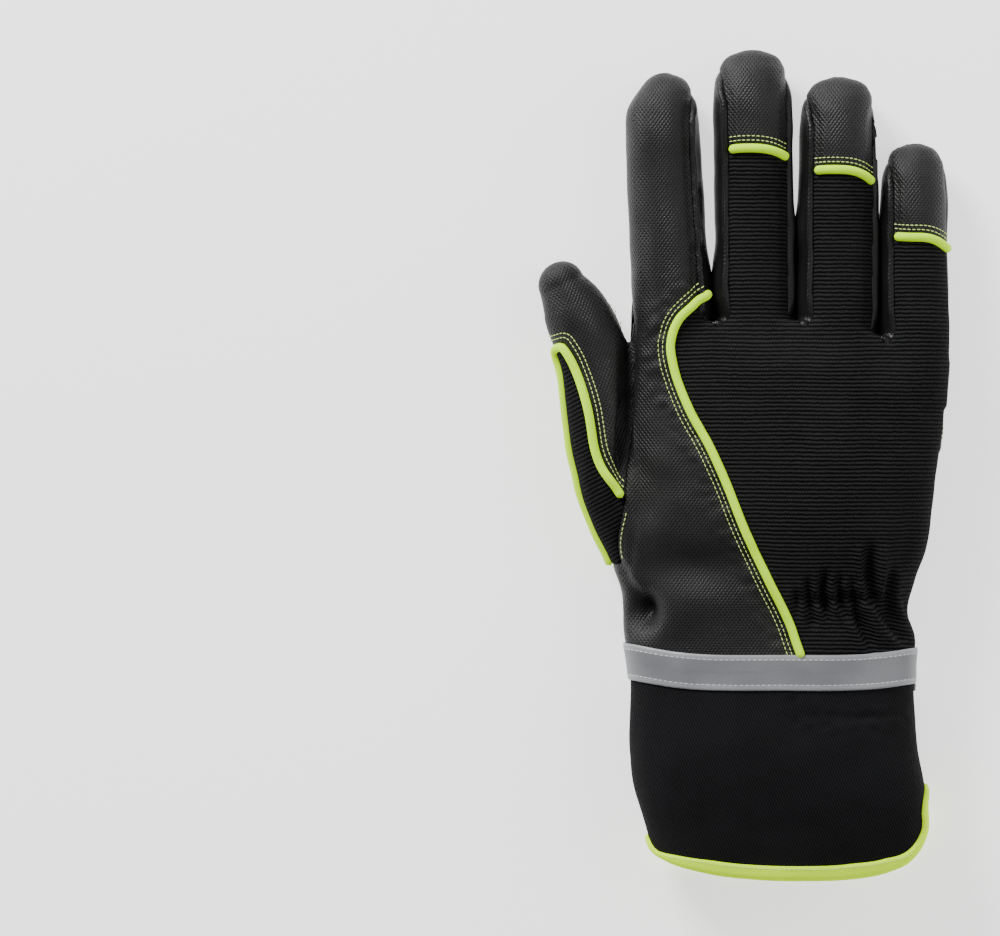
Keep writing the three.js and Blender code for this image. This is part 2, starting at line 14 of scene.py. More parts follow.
import bpy
import numpy as np
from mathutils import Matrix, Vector


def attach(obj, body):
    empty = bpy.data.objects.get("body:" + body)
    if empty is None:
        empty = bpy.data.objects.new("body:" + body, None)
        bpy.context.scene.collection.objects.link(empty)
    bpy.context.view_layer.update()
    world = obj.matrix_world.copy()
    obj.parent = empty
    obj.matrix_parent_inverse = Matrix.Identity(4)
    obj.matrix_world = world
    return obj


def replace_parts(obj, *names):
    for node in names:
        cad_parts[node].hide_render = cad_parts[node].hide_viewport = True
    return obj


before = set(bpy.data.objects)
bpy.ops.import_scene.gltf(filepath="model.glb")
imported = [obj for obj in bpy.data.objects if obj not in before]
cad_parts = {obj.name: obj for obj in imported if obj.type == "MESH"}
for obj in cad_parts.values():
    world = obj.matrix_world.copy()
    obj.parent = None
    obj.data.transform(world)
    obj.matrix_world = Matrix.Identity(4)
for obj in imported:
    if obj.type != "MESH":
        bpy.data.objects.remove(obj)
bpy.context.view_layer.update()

LOG = logging.getLogger("glove")
MM = 0.001
FAR = 300.0
TINY = 1e-12
CHUNK = 4096
LEAST_POINTS = 4
BODY = "root"

Array = np.ndarray
Tree = bpy.types.NodeTree
Socket = bpy.types.NodeSocket


class Thread(Enum):
    """Colours of sewing thread."""

    LIME = "lime"
    PALE = "pale"


# Small helpers on tables and lines


def unit(vectors: Array) -> Array:
    """Rows of vectors, each made one long."""
    return vectors / np.linalg.norm(vectors, axis=1, keepdims=True)


def run_along(points: Array) -> Array:
    """Distance along a line at each of its points."""
    return np.concatenate([[0], np.cumsum(np.linalg.norm(np.diff(points, axis=0), axis=1))])


def read_rows(at: Array, keys: Array, rows: Array) -> Array:
    """Reads every column of a table at some places, straight from row to row."""
    return np.column_stack([np.interp(at, keys, column) for column in rows.T])


def by_parts(measure: Callable, plan: Array) -> list[Array]:
    """Measures points in plan some at a time, which keeps the tables small."""
    parts = [measure(plan[first : first + CHUNK]) for first in range(0, len(plan), CHUNK)]
    return [np.concatenate(column) for column in zip(*parts)]


def through(keys: list | Array, values: list | Array, at: Array) -> Array:
    """Reads a smooth curve through the rows of a table.

    Args:
        keys: rising places of the rows.
        values: one value or one point for each row.
        at: the places to read, held within the rows.

    Returns:
        The values at those places.
    """
    keys = np.asarray(keys, float)
    values = np.asarray(values, float)
    slopes = np.gradient(values, keys, axis=0)
    at = np.clip(at, keys[0], keys[-1])
    row = np.clip(np.searchsorted(keys, at, side="right") - 1, 0, len(keys) - 2)
    run = keys[row + 1] - keys[row]
    t = (at - keys[row]) / run
    if values.ndim == 2:
        run = run[:, None]
        t = t[:, None]
    back = 1 - t
    start = (1 + 2 * t) * back**2 * values[row] + t * back**2 * run * slopes[row]
    return start + t**2 * (3 - 2 * t) * values[row + 1] - t**2 * back * run * slopes[row + 1]


def smooth_line(points: list | Array, step: float = 2.0, closed: bool = False) -> Array:
    """Draws a smooth line through points in plan.

    Args:
        points: the points in order.
        step: distance between the points of the result.
        closed: whether the line comes back to its start.

    Returns:
        The points of the smooth line.
    """
    points = np.asarray(points, float)
    wrap = 3 if closed else 0
    ring = np.vstack([points[-wrap:], points, points[:wrap]]) if closed else points
    keys = run_along(ring)
    start = keys[wrap]
    end = keys[wrap + len(points)] if closed else keys[-1]
    count = max(int((end - start) / step), 2)
    return through(keys, ring, np.linspace(start, end, count + 1)[: count if closed else None])


def grow(outline: Array, distance: float) -> Array:
    """Moves a closed outline outwards by a distance."""
    around = np.roll(outline, -1, axis=0)
    ahead = unit(around - np.roll(outline, 1, axis=0))
    area = np.sum(outline[:, 0] * around[:, 1] - outline[:, 1] * around[:, 0])
    turn = math.copysign(1, area)
    return outline + turn * distance * np.column_stack([ahead[:, 1], -ahead[:, 0]])


def inside(plan: Array, outline: Array) -> Array:
    """Measures how far points in plan are inside a closed outline.

    Args:
        plan: the points.
        outline: the corners of the outline.

    Returns:
        The distance to the outline, positive inside it.
    """
    end = np.roll(outline, -1, axis=0)
    edge = end - outline
    square = np.maximum((edge**2).sum(1), TINY)
    slope = edge[:, 0] / np.where(np.abs(edge[:, 1]) < TINY, 1, edge[:, 1])

    def measure(part: Array) -> tuple[Array]:
        """Measures some of the points."""
        away = part[:, None] - outline
        gap = away - np.clip((away * edge).sum(2) / square, 0, 1)[..., None] * edge
        nearest = np.sqrt((gap**2).sum(2).min(1))
        height = part[:, 1:]
        crosses = (outline[:, 1] <= height) != (end[:, 1] <= height)
        beyond = part[:, :1] < outline[:, 0] + (height - outline[:, 1]) * slope
        odd = (crosses & beyond).sum(1) % 2 == 1
        return (np.where(odd, nearest, -nearest),)

    return by_parts(measure, plan)[0]


def beside(plan: Array, line: Array) -> tuple[Array, Array]:
    """Measures points in plan against an open line.

    Args:
        plan: the points.
        line: the points of the line.

    Returns:
        The distance, positive on the line's left, and the place along the line from 0 to 1.
    """
    edge = np.diff(line, axis=0)
    length = np.linalg.norm(edge, axis=1)
    run = run_along(line)

    def measure(part: Array) -> tuple[Array, Array]:
        """Measures some of the points."""
        away = part[:, None] - line[:-1]
        share = np.clip((away * edge).sum(2) / length**2, 0, 1)
        square = ((away - share[..., None] * edge) ** 2).sum(2)
        near = square.argmin(1)
        row = np.arange(len(part))
        side = edge[near, 0] * away[row, near, 1] - edge[near, 1] * away[row, near, 0]
        distance = np.sqrt(square[row, near]) * np.where(side < 0, -1, 1)
        return distance, (run[near] + share[row, near] * length[near]) / run[-1]

    distance, along = by_parts(measure, plan)
    return distance, along


def bell(value: Array) -> Array:
    """A smooth bump of height 1 and half width about 1."""
    return np.exp(-(value**2))


def step_up(value: Array, low: float, high: float) -> Array:
    """A smooth step from 0 at the low value to 1 at the high one."""
    t = np.clip((value - low) / (high - low), 0, 1)
    return t * t * (3 - 2 * t)


def blend_least(first: Array, second: Array, radius: float) -> Array:
    """The lesser of two distances, rounded over a radius where they meet."""
    share = np.clip(0.5 + 0.5 * (second - first) / radius, 0, 1)
    return second + (first - second) * share - radius * share * (1 - share)


class Ripples:
    """Soft irregular waves in space, the same at each run."""

    spread = (0.6, 1.5)

    def __init__(self, length: float, seed: int, waves: int = 18) -> None:
        """Draws the waves.

        Args:
            length: middle length of a wave.
            seed: fixes the draw.
            waves: how many waves are added up.
        """
        draw = np.random.default_rng(seed)
        ways = unit(draw.normal(size=(waves, 3)))
        self.ways = ways * (2 * math.pi / length) * draw.uniform(*self.spread, (waves, 1))
        self.phase = draw.uniform(0, 2 * math.pi, waves)

    def at(self, places: Array) -> Array:
        """Height of the waves at places, mostly from -1 to 1."""
        return np.sin(places @ self.ways.T + self.phase).sum(1) / math.sqrt(len(self.phase))


# The form of the glove


@dataclass(frozen=True)
class Finger:
    """One finger: its width, reach and lean, its taper and the seam of its tip cap."""

    name: str
    width: float
    reach: float
    lean: float
    taper: float
    cap: tuple[float, float, float, float] | None


FINGERS = (
    Finger("index", 26.0, 82.99, -2.7, 0.07, None),
    Finger("middle", 26.0, 90.7, -0.4, 0.0, (0.62, 0.632, 0.626, 0.589)),
    Finger("ring", 26.39, 83.17, 0.6, 0.02, (0.613, 0.622, 0.616, 0.559)),
    Finger("little", 22.8, 68.66, -0.3, 0.03, (0.549, 0.534, 0.529, 0.472)),
)
# The two middle points of a cap's seam across a finger, and the end of its zone along it
CAP_MIDDLE = (-0.25, 0.35)
CAP_END = 1.2
# The tip of a side strip: along the fingers on its left and right, and how far beyond their edges
STRIP_LEFT = (0.8, 0.91, 0.97)
STRIP_RIGHT = (0.8, 0.9, 0.96)
STRIP_BEYOND = 1.02

# Sections of cuff and hand: along, left, right, top, as shares of length, half width and height
CUFF_SECTIONS = (
    (-0.06, -0.87, 0.99, 0.97),
    (0.2, -0.905, 1.01, 1.04),
    (0.42, -0.997, 1.0, 1.08),
    (0.6, -1.034, 0.952, 1.06),
)
HAND_SECTIONS = (
    (0.0, -0.952, 0.84, 0.92),
    (0.09, -0.985, 0.845, 0.9),
    (0.165, -0.99, 0.8, 0.9),
    (0.255, -0.995, 0.845, 0.94),
    (0.342, -1.035, 0.914, 0.98),
    (0.476, -0.985, 0.957, 1.0),
    (0.66, -0.945, 1.005, 0.97),
    (0.835, -0.93, 1.03, 0.89),
    (1.0, -0.929, 1.05, 0.7),
)

# Sections of a finger: along, wide, top, bottom; the second table is its rounded tip
FINGER_SECTIONS = ((-0.35, 0.86, 1.06, 0), (0, 1, 1.1, 0), (0.35, 1, 1.04, 0), (0.7, 0.99, 0.97, 0))
TIP_SECTIONS = (
    (0, 0.975, 0.92, 0),
    (0.4, 0.93, 0.84, 0.02),
    (0.67, 0.82, 0.74, 0.09),
    (0.9, 0.56, 0.6, 0.21),
    (1, 0.24, 0.5, 0.32),
)

# The index finger's slanting shoulder: a place on it and the way it faces
SHOULDER = ((-45.2, 130.4), (-0.78, 0.626))

# Sections of the thumb: out, up, wide, middle, high
THUMB_SECTIONS = (
    (0, 0, 1.16, 0.54, 0.9),
    (0.09, 0.131, 1.06, 0.54, 0.94),
    (0.17, 0.272, 0.92, 0.54, 0.98),
    (0.213, 0.432, 0.9, 0.52, 0.98),
    (0.229, 0.563, 0.9, 0.52, 0.94),
    (0.24, 0.68, 0.96, 0.5, 0.9),
    (0.266, 0.77, 0.99, 0.49, 0.86),
    (0.309, 0.861, 0.89, 0.47, 0.78),
    (0.346, 0.93, 0.64, 0.44, 0.66),
    (0.353, 0.98, 0.4, 0.4, 0.42),
    (0.356, 1, 0.13, 0.38, 0.18),
)

# Dents and bumps of the back: across, along, wide, long, rise as a share of the height
FORMS = (
    (-0.885, 0.17, 0.095, 0.05, -0.27),
    (-0.6, 0.305, 0.38, 0.065, -0.085),
    (-0.48, 0.19, 0.32, 0.065, 0.035),
    (-0.7, 0.9, 0.2, 0.09, 0.04),
    (-0.18, 0.91, 0.2, 0.09, 0.045),
    (0.33, 0.88, 0.2, 0.09, 0.04),
    (0.8, 0.83, 0.18, 0.09, 0.035),
    (0.45, 0.45, 0.5, 0.2, 0.03),
)

# Seams and outlines on the hand: shares of half width across, of palm length along
MAIN_SEAM = (
    (-0.472, 1.085), (-0.557, 1.049), (-0.653, 1.002), (-0.693, 0.939), (-0.674, 0.873),
    (-0.576, 0.745), (-0.456, 0.643), (-0.356, 0.541), (-0.237, 0.403), (-0.095, 0.264),
    (0.044, 0.134), (0.114, 0.042), (0.152, 0.001),
)
UPPER_PATCH = (
    (-0.9, 0.994), (-0.875, 1.104), (-0.794, 1.197), (-0.674, 1.217), (-0.56, 1.197),
    (-0.5, 1.133), (-0.51, 1.057), (-0.53, 1.002), (-0.506, 0.979), (-0.394, 0.979),
    (-0.275, 1.02), (-0.163, 1.043), (-0.095, 1.026), (-0.044, 0.979), (0.025, 0.962),
    (0.182, 0.973), (0.326, 0.985), (0.4, 0.985), (0.451, 0.956), (0.525, 0.892),
    (0.625, 0.837), (0.818, 0.808), (0.95, 0.785), (0.95, 0.62), (0.72, 0.647),
    (0.424, 0.692), (0.125, 0.748), (-0.174, 0.785), (-0.53, 0.803), (-0.862, 0.837),
)
HEEL_PATCH = (
    (-0.595, 0.678), (-0.562, 0.699), (-0.494, 0.725), (-0.375, 0.727), (-0.174, 0.713),
    (0.125, 0.676), (0.424, 0.62), (0.644, 0.585), (0.818, 0.56), (0.881, 0.542),
    (0.905, 0.496), (0.885, 0.42), (0.82, 0.311), (0.75, 0.18), (0.71, 0.125),
    (0.61, 0.095), (0.326, 0.072), (0.025, 0.085), (-0.174, 0.105), (-0.256, 0.134),
    (-0.288, 0.209), (-0.337, 0.291), (-0.345, 0.383), (-0.375, 0.496), (-0.456, 0.568),
    (-0.557, 0.643),
)
HEEL_DIVIDER = ((-0.25, 0.72), (-0.208, 0.551), (-0.158, 0.29), (-0.107, 0.108))
SADDLE_SEAM = (
    (-0.862, 0.837), (-0.775, 0.763), (-0.612, 0.661), (-0.494, 0.589), (-0.413, 0.496),
    (-0.388, 0.403), (-0.413, 0.32), (-0.475, 0.247), (-0.595, 0.189), (-0.731, 0.154),
    (-0.85, 0.157), (-1.1, 0.195),
)
PALM_DART = ((-0.561, 0.464), (-0.496, 0.365), (-0.447, 0.302))
BALL_OUTSIDE = (-1.1, 0.837)
THUMB_BELOW = ((-1.2, 0.19), (-0.97, 0.197))
THUMB_BEYOND = ((-1, 1.05), (-1.07, 1.6), (-2.5, 1.6), (-2.5, 0.19))
INSERT_CORNER = ((-0.99, 0.4), (-1.03, 0.3), (-1.3, 0.26))
TAPE_LINE = (
    (-1.3, 0.04), (-0.952, 0.022), (-0.7, 0.002), (0, -0.008), (0.6, -0.003), (0.84, 0.01),
    (1.3, 0.03),
)

# The hem, in shares of half the cuff's width across and of its length along
HEM_LINE = (
    (-1.25, 0.27), (-0.94, 0.19), (-0.888, 0.125), (-0.783, 0.083), (-0.55, 0.037),
    (-0.158, 0.005), (0.138, 0), (0.44, 0.005), (0.72, 0.036), (0.879, 0.083), (0.96, 0.144),
    (1.01, 0.22), (1.03, 0.39), (1.25, 0.47),
)

# Seams and outlines on the thumb: out and up from its root, as shares of its length
INSERT_OUTSIDE = ((0.5, 0.2), (0.5, 0.69))
THUMB_PATCH = (
    (0.18, 0.86), (0.263, 0.803), (0.306, 0.732), (0.295, 0.657), (0.265, 0.543),
    (0.232, 0.407), (0.2, 0.352), (0.172, 0.355), (0.158, 0.446), (0.158, 0.577),
    (0.16, 0.695), (0.169, 0.789),
)
THUMB_PIPING = (
    (0.34, 0.735), (0.316, 0.698), (0.293, 0.644), (0.274, 0.59), (0.258, 0.528), (0.25, 0.474),
    (0.24, 0.412), (0.2235, 0.3655), (0.2, 0.3265), (0.154, 0.2645),
)


@dataclass
class Plan:
    """Named sizes of the glove, and where shares of them lie in plan."""

    palm_length: float = 114.0
    cuff_length: float = 69.0
    cuff_width: float = 96.0
    hand_height: float = 34.0
    seam_height: float = 13.0
    origin_along: float = 0.545
    knuckle_drop: float = 12.0
    finger_gap: float = 1.2
    finger_height: float = 23.0
    fourchette_low: float = 5.0
    radial_seam: float = 0.64
    ulnar_seam: float = 0.86
    tip_length: float = 16.0
    tip_drop: float = 4.5
    index_seam: float = 0.66
    strip_point: float = 3.0
    strip_end: float = 1.2
    strip_end_width: float = 1.0
    thumb_length: float = 106.5
    thumb_width: float = 24.0
    thumb_height: float = 24.0
    thumb_seam: float = 11.0
    thumb_low: float = 0.3
    thumb_edge: float = 0.25
    thumb_clear: float = 0.004
    thumb_root: tuple[float, float] = (-0.68, 0.247)
    wall: float = 1.6
    gap: float = 0.3
    patch: float = 1.6
    patch_hem: float = 1.5
    tape_width: float = 11.7
    tape_thickness: float = 0.6
    tape_step: float = 3.0
    binding_width: float = 5.3
    binding_thickness: float = 1.0
    flattening: float = 1.2
    patch_top: dict = field(default_factory=lambda: {"upper": 10.0, "heel": 10.0, "thumb": 8.0})
    pad_from: float = 0.58
    pad_to: float = 0.8

    @property
    def half_hand(self) -> float:
        """Half the width of the hand at the knuckles."""
        fingers = sum(finger.width for finger in FINGERS)
        return (fingers + (len(FINGERS) - 1) * self.finger_gap) / 2

    @property
    def hand_floor(self) -> float:
        """Height of the palm above the surface that its patches lie on."""
        return self.patch + self.gap

    @property
    def binding_reach(self) -> float:
        """From the cloth of the cuff to the outside of its binding."""
        return self.binding_thickness + self.gap

    @property
    def slot_x(self) -> float:
        """Middle of the slot between index and middle finger."""
        first = HAND_SECTIONS[-1][1] * self.half_hand
        return first + FINGERS[0].width + self.finger_gap / 2

    def palm_y(self, along: float | Array) -> float | Array:
        """Place along the glove of a share of the palm."""
        return (along - self.origin_along) * self.palm_length

    def web_y(self, x: float) -> float:
        """Place along the glove of the web between fingers, at a place across it."""
        return self.palm_y(1) - self.knuckle_drop * max(0, x / self.half_hand) ** 2

    def on_hand(self, rows: tuple | Array) -> Array:
        """Places in plan of shares across and along the hand."""
        rows = np.asarray(rows, float)
        return np.column_stack([rows[:, 0] * self.half_hand, self.palm_y(rows[:, 1])])

    def on_cuff(self, rows: tuple | Array) -> Array:
        """Places in plan of shares across and along the cuff."""
        rows = np.asarray(rows, float)
        y = self.palm_y(0) - (1 - rows[:, 1]) * self.cuff_length
        return np.column_stack([rows[:, 0] * self.cuff_width / 2, y])

    def on_thumb(self, rows: tuple | Array) -> Array:
        """Places in plan of shares out and up from the root of the thumb."""
        rows = np.asarray(rows, float)
        root = self.on_hand((self.thumb_root,))[0]
        return root + rows[:, :2] * (-self.thumb_length, self.thumb_length)

    def cap_side(self, finger: Finger) -> float:
        """Where a cap's zone ends across a finger, as a share of half its width."""
        return 1 + self.finger_gap / finger.width

    @cached_property
    def hem_outline(self) -> Array:
        """Outline in plan of everything on the hand's side of the hem."""
        line = smooth_line(self.on_cuff(HEM_LINE))
        return np.vstack([line, (FAR, line[-1, 1]), (FAR, FAR), (-FAR, FAR), (-FAR, line[0, 1])])

    @cached_property
    def main_seam(self) -> Array:
        """The seam between leather and knit, from the index finger's web to the tape."""
        return smooth_line(self.on_hand(MAIN_SEAM))

    def finger_axes(self, index: int) -> tuple[Array, Array, Array]:
        """Base, direction and lateral of a finger in plan."""
        before = sum(finger.width + self.finger_gap for finger in FINGERS[:index])
        x = HAND_SECTIONS[-1][1] * self.half_hand + before + FINGERS[index].width / 2
        lean = math.radians(FINGERS[index].lean)
        direction = np.array([math.sin(lean), math.cos(lean)])
        return np.array([x, self.web_y(x)]), direction, np.array([direction[1], -direction[0]])

    def slot_width(self, index: int, y: Array) -> Array:
        """Width of the slot beyond a finger, at places along the glove."""
        sides = []
        for which, side in ((index, 1), (index + 1, -1)):
            base, direction, _ = self.finger_axes(which)
            finger = FINGERS[which]
            along = (y - base[1]) / direction[1]
            shares = along / (finger.reach - self.tip_length)
            wide = np.interp(shares, *np.array(FINGER_SECTIONS)[:, :2].T)
            wide *= 1 - finger.taper * np.clip(along / finger.reach, 0, 1) ** 2
            sides.append(base[0] + direction[0] * along + side * wide * finger.width / 2)
        return sides[1] - sides[0]

    def on_finger(self, index: int, across: float, along: float) -> Array:
        """Place in plan of shares across and along a finger."""
        base, direction, lateral = self.finger_axes(index)
        finger = FINGERS[index]
        return base + lateral * across * finger.width / 2 + direction * along * finger.reach


PLAN = Plan()


@dataclass
class GloveForm:
    """The whole outside of the glove as a distance in space, and its mesh."""

    pitch: float = 0.85
    low: tuple[float, float, float] = (-84.0, -136.0, -4.0)
    high: tuple[float, float, float] = (61.0, 147.0, 41.0)
    finger_blend: float = 2.5
    thumb_blend: float = 3.5
    shoulder_blend: float = 3.5
    thumb_end: float = 2.1
    thumb_reach: float = 15.0
    thumb_points: int = 181
    thumb_beside: float = -0.35
    thumb_beyond: float = 1.45
    fingers_from: float = 0.55
    floor_blend: float = 1.6
    drop_passes: int = 5
    relax_passes: int = 4
    # Roundness of a section of the hand: at its sides, its top and the palm's edges
    side_round: float = 0.9
    top_round: float = 0.8
    upper_power: float = 2.36
    palm_round: float = 0.65

    def grid(self) -> tuple[Array, Array, Array]:
        """The grid's places across, along and up."""
        return tuple(
            np.arange(low, high, self.pitch, dtype=np.float32)
            for low, high in zip(self.low, self.high)
        )

    def as_distance(self, form: Array, least: float = 0.008) -> Array:
        """Turns a form that is zero on its surface into a distance from it."""
        slopes = np.gradient(form, self.pitch)
        steep = np.sqrt(sum(slope**2 for slope in slopes))
        return form / np.maximum(steep, least)

    def body(self, x: Array, y: Array, z: Array) -> Array:
        """Distance from the hand and cuff."""
        plan = PLAN
        drop = plan.knuckle_drop * np.maximum(0, x / plan.half_hand) ** 2
        place = y + 0 * x
        for _ in range(self.drop_passes):
            along = np.clip((place - plan.palm_y(0)) / plan.palm_length, 0, 1)
            place = y + drop * along**3
        half = plan.cuff_width / 2
        rows = [
            (plan.on_cuff(((0, along),))[0, 1], left * half, right * half, top,
             plan.binding_reach + (plan.hand_floor - plan.binding_reach) * max(0, along))
            for along, left, right, top in CUFF_SECTIONS
        ]
        half = plan.half_hand
        rows += [
            (plan.palm_y(along), left * half, right * half, top, plan.hand_floor)
            for along, left, right, top in HAND_SECTIONS
        ]
        keys, lefts, rights, tops, floors = np.array(rows).T
        left = through(keys, lefts, place)
        right = through(keys, rights, place)
        top = through(keys, tops, place) * plan.hand_height
        floor = through(keys, floors, place)
        seam = plan.seam_height
        side = np.abs(x - (left + right) / 2) / ((right - left) / 2)
        up = np.maximum(z - seam, 0) / (top - seam)[..., None]
        down = np.maximum(seam - z, 0) / (seam - floor + plan.flattening)[..., None]
        side = side[..., None]
        upper = side ** (2 / self.side_round) + up ** (2 / self.top_round)
        upper = upper ** (1 / self.upper_power)
        lower = side ** (2 / self.palm_round) + down ** (2 / self.palm_round)
        lower = lower ** (self.palm_round / 2)
        distance = self.as_distance(np.where(z > seam, upper, lower) - 1)
        distance = -blend_least(-distance, z - floor[..., None], self.floor_blend)
        return np.maximum(distance, (place - plan.palm_y(1))[..., None])

    def finger(self, index: int, x: Array, y: Array, z: Array) -> Array:
        """Distance from one finger."""
        plan = PLAN
        finger = FINGERS[index]
        base, direction, lateral = plan.finger_axes(index)
        along = (x - base[0]) * direction[0] + (y - base[1]) * direction[1]
        across = (x - base[0]) * lateral[0] + (y - base[1]) * lateral[1]
        shaft = finger.reach - plan.tip_length
        rows = [(row[0] * shaft, *row[1:]) for row in FINGER_SECTIONS]
        rows += [(shaft + row[0] * plan.tip_length, *row[1:]) for row in TIP_SECTIONS]
        keys, wide, tops, bottoms = np.array(rows, float).T
        taper = 1 - finger.taper * np.clip(along / finger.reach, 0, 1) ** 2
        half = through(keys, wide, along) * taper * finger.width / 2
        top = through(keys, tops, along) * plan.finger_height
        bottom = through(keys, bottoms, along) * plan.finger_height
        middle = (top + bottom) / 2 - plan.flattening / 2
        high = (top - bottom) / 2
        form = np.sqrt(
            (across / half)[..., None] ** 2 + ((z - middle[..., None]) / high[..., None]) ** 2
        )
        distance = self.as_distance(form - 1)
        floor = plan.hand_floor * (1 - step_up(along / finger.reach, plan.pad_from, plan.pad_to))
        distance = -blend_least(-distance, z - floor[..., None], self.floor_blend)
        ends = np.maximum(along - finger.reach, keys[0] - along)
        distance = np.maximum(distance, ends[..., None])
        if index:
            return distance
        corner = (x - SHOULDER[0][0]) * SHOULDER[1][0] + (y - SHOULDER[0][1]) * SHOULDER[1][1]
        return -blend_least(-distance, -corner[..., None] + 0 * distance, self.shoulder_blend)

    def thumb(self, x: Array, y: Array, z: Array) -> Array:
        """Distance from the thumb."""
        plan = PLAN
        rows = np.array(THUMB_SECTIONS, float)
        count = np.arange(len(rows))
        fine = np.linspace(0, len(rows) - 1 - self.thumb_end, self.thumb_points)
        line = through(count, plan.on_thumb(rows), fine)

        def measure(part: Array) -> tuple[Array, Array]:
            """The nearest point of the thumb's middle line, and the distance from it."""
            gaps = np.linalg.norm(part[:, None] - line, axis=2)
            return gaps.argmin(1), gaps.min(1)

        nearest, away = by_parts(measure, np.column_stack([x.ravel(), y.ravel()]))
        wide, middle, high = through(count, rows[:, 2:], fine[nearest]).T
        half = wide * plan.thumb_width / 2
        middle = middle * plan.thumb_height
        high = high * plan.thumb_height / 2
        side = (away / half).reshape(x.shape)[..., None]
        rise = (z - middle.reshape(x.shape)[..., None]) / high.reshape(x.shape)[..., None]
        distance = self.as_distance(np.sqrt(side**2 + rise**2) - 1)
        distance = np.maximum(distance, (away - self.thumb_reach).reshape(x.shape)[..., None])
        return -blend_least(-distance, z - plan.hand_floor, self.floor_blend)

    def distance(self) -> Array:
        """Distance from the whole glove on the grid."""
        across, along, up = self.grid()
        x, y = np.meshgrid(across, along, indexing="ij")
        fingers = np.full((*x.shape, len(up)), FAR, np.float32)
        near = along > PLAN.palm_y(self.fingers_from)
        for index in range(len(FINGERS)):
            one = self.finger(index, x[:, near], y[:, near], up)
            fingers[:, near] = np.minimum(fingers[:, near], one)
        whole = blend_least(self.body(x, y, up), fingers, self.finger_blend)
        left = across < PLAN.on_hand(((self.thumb_beside, 0),))[0, 0]
        beside_hand = (along > PLAN.palm_y(0)) & (along < PLAN.palm_y(self.thumb_beyond))
        block = np.ix_(left, beside_hand)
        one = self.thumb(x[block], y[block], up)
        whole[block] = blend_least(whole[block], one, self.thumb_blend)
        return whole.astype(np.float32)

    def mesh(self) -> tuple[Array, Array]:
        """Vertices and triangles of the outside, in even small facets."""
        distance = self.distance()
        origin = np.array(self.low)
        places, triangles = surface_net(distance, origin, self.pitch)
        for _ in range(self.relax_passes):
            places = relax(places, triangles)
            places = onto(places, distance, origin, self.pitch)
        return places, triangles


def surface_net(distance: Array, origin: Array, pitch: float) -> tuple[Array, Array]:
    """Makes a mesh where a distance on a grid is zero.

    Args:
        distance: distances on the grid, negative inside.
        origin: place of the grid's first point.
        pitch: spacing of the grid.

    Returns:
        Vertices and triangles, faces outwards.
    """
    shape = np.array(distance.shape) - 1
    corners = np.array([(i, j, k) for i in (0, 1) for j in (0, 1) for k in (0, 1)])
    values = [
        distance[i : shape[0] + i, j : shape[1] + j, k : shape[2] + k] for i, j, k in corners
    ]
    within = sum((value < 0).astype(np.int8) for value in values)
    mixed = (within > 0) & (within < len(corners))
    cells = np.argwhere(mixed)
    number = np.full(mixed.shape, -1)
    number[mixed] = np.arange(len(cells))
    at = np.stack([value[mixed] for value in values], axis=1)
    total = np.zeros((len(cells), 3))
    found = np.zeros(len(cells))
    for a, first in enumerate(corners):
        for b, second in enumerate(corners):
            if a < b and np.abs(second - first).sum() == 1:
                crosses = (at[:, a] < 0) != (at[:, b] < 0)
                run = np.where(crosses, at[:, a] - at[:, b], 1)
                point = first + (second - first) * (at[:, a] / run)[:, None]
                total += np.where(crosses[:, None], point, 0)
                found += crosses
    places = origin + (cells + total / found[:, None]) * pitch
    quads = []
    for axis in range(3):
        ahead, left, right = np.roll(np.eye(3, dtype=int), axis, axis=0)
        here = tuple(slice(0 if way else 1, -1) for way in ahead)
        there = tuple(slice(1, None) if way else slice(1, -1) for way in ahead)
        changes = (distance[here] < 0) != (distance[there] < 0)
        points = np.argwhere(changes) + (1 - ahead)
        outwards = distance[tuple(points.T)] < 0
        ring = [
            number[tuple((points + way).T)]
            for way in (-left - right, -right, 0 * left, -left)
        ]
        quad = np.stack(ring, axis=1)
        quads.append(np.where(outwards[:, None], quad, quad[:, ::-1]))
    quads = np.vstack(quads)
    return places, np.vstack([quads[:, (0, 1, 2)], quads[:, (0, 2, 3)]])


def relax(places: Array, triangles: Array) -> Array:
    """Moves each vertex halfway to the middle of its neighbours."""
    start = triangles.ravel()
    end = np.roll(triangles, -1, axis=1).ravel()
    count = np.bincount(start, minlength=len(places)) + 1e-9
    middle = [np.bincount(start, places[end, axis], len(places)) / count for axis in range(3)]
    return 0.5 * places + 0.5 * np.column_stack(middle)


def onto(places: Array, distance: Array, origin: Array, pitch: float,
         least: float = 0.05) -> Array:
    """Moves vertices onto the surface where a distance on a grid is zero.

    Args:
        places: the vertices.
        distance: distances on the grid.
        origin: place of the grid's first point.
        pitch: spacing of the grid.
        least: the least squared slope that is divided by.

    Returns:
        The moved vertices.
    """
    at = (places - origin) / pitch
    cell = np.clip(at.astype(int), 0, np.array(distance.shape) - 2)
    share = at - cell
    value = np.zeros(len(places))
    slope = np.zeros((len(places), 3))
    for corner in np.ndindex(2, 2, 2):
        here = distance[tuple((cell + corner).T)]
        weights = np.where(corner, share, 1 - share)
        value += here * weights.prod(1)
        for axis in range(3):
            others = np.delete(weights, axis, axis=1).prod(1)
            slope[:, axis] += here * others * (1 if corner[axis] else -1) / pitch
    return places - slope * (value / np.maximum((slope**2).sum(1), least))[:, None]


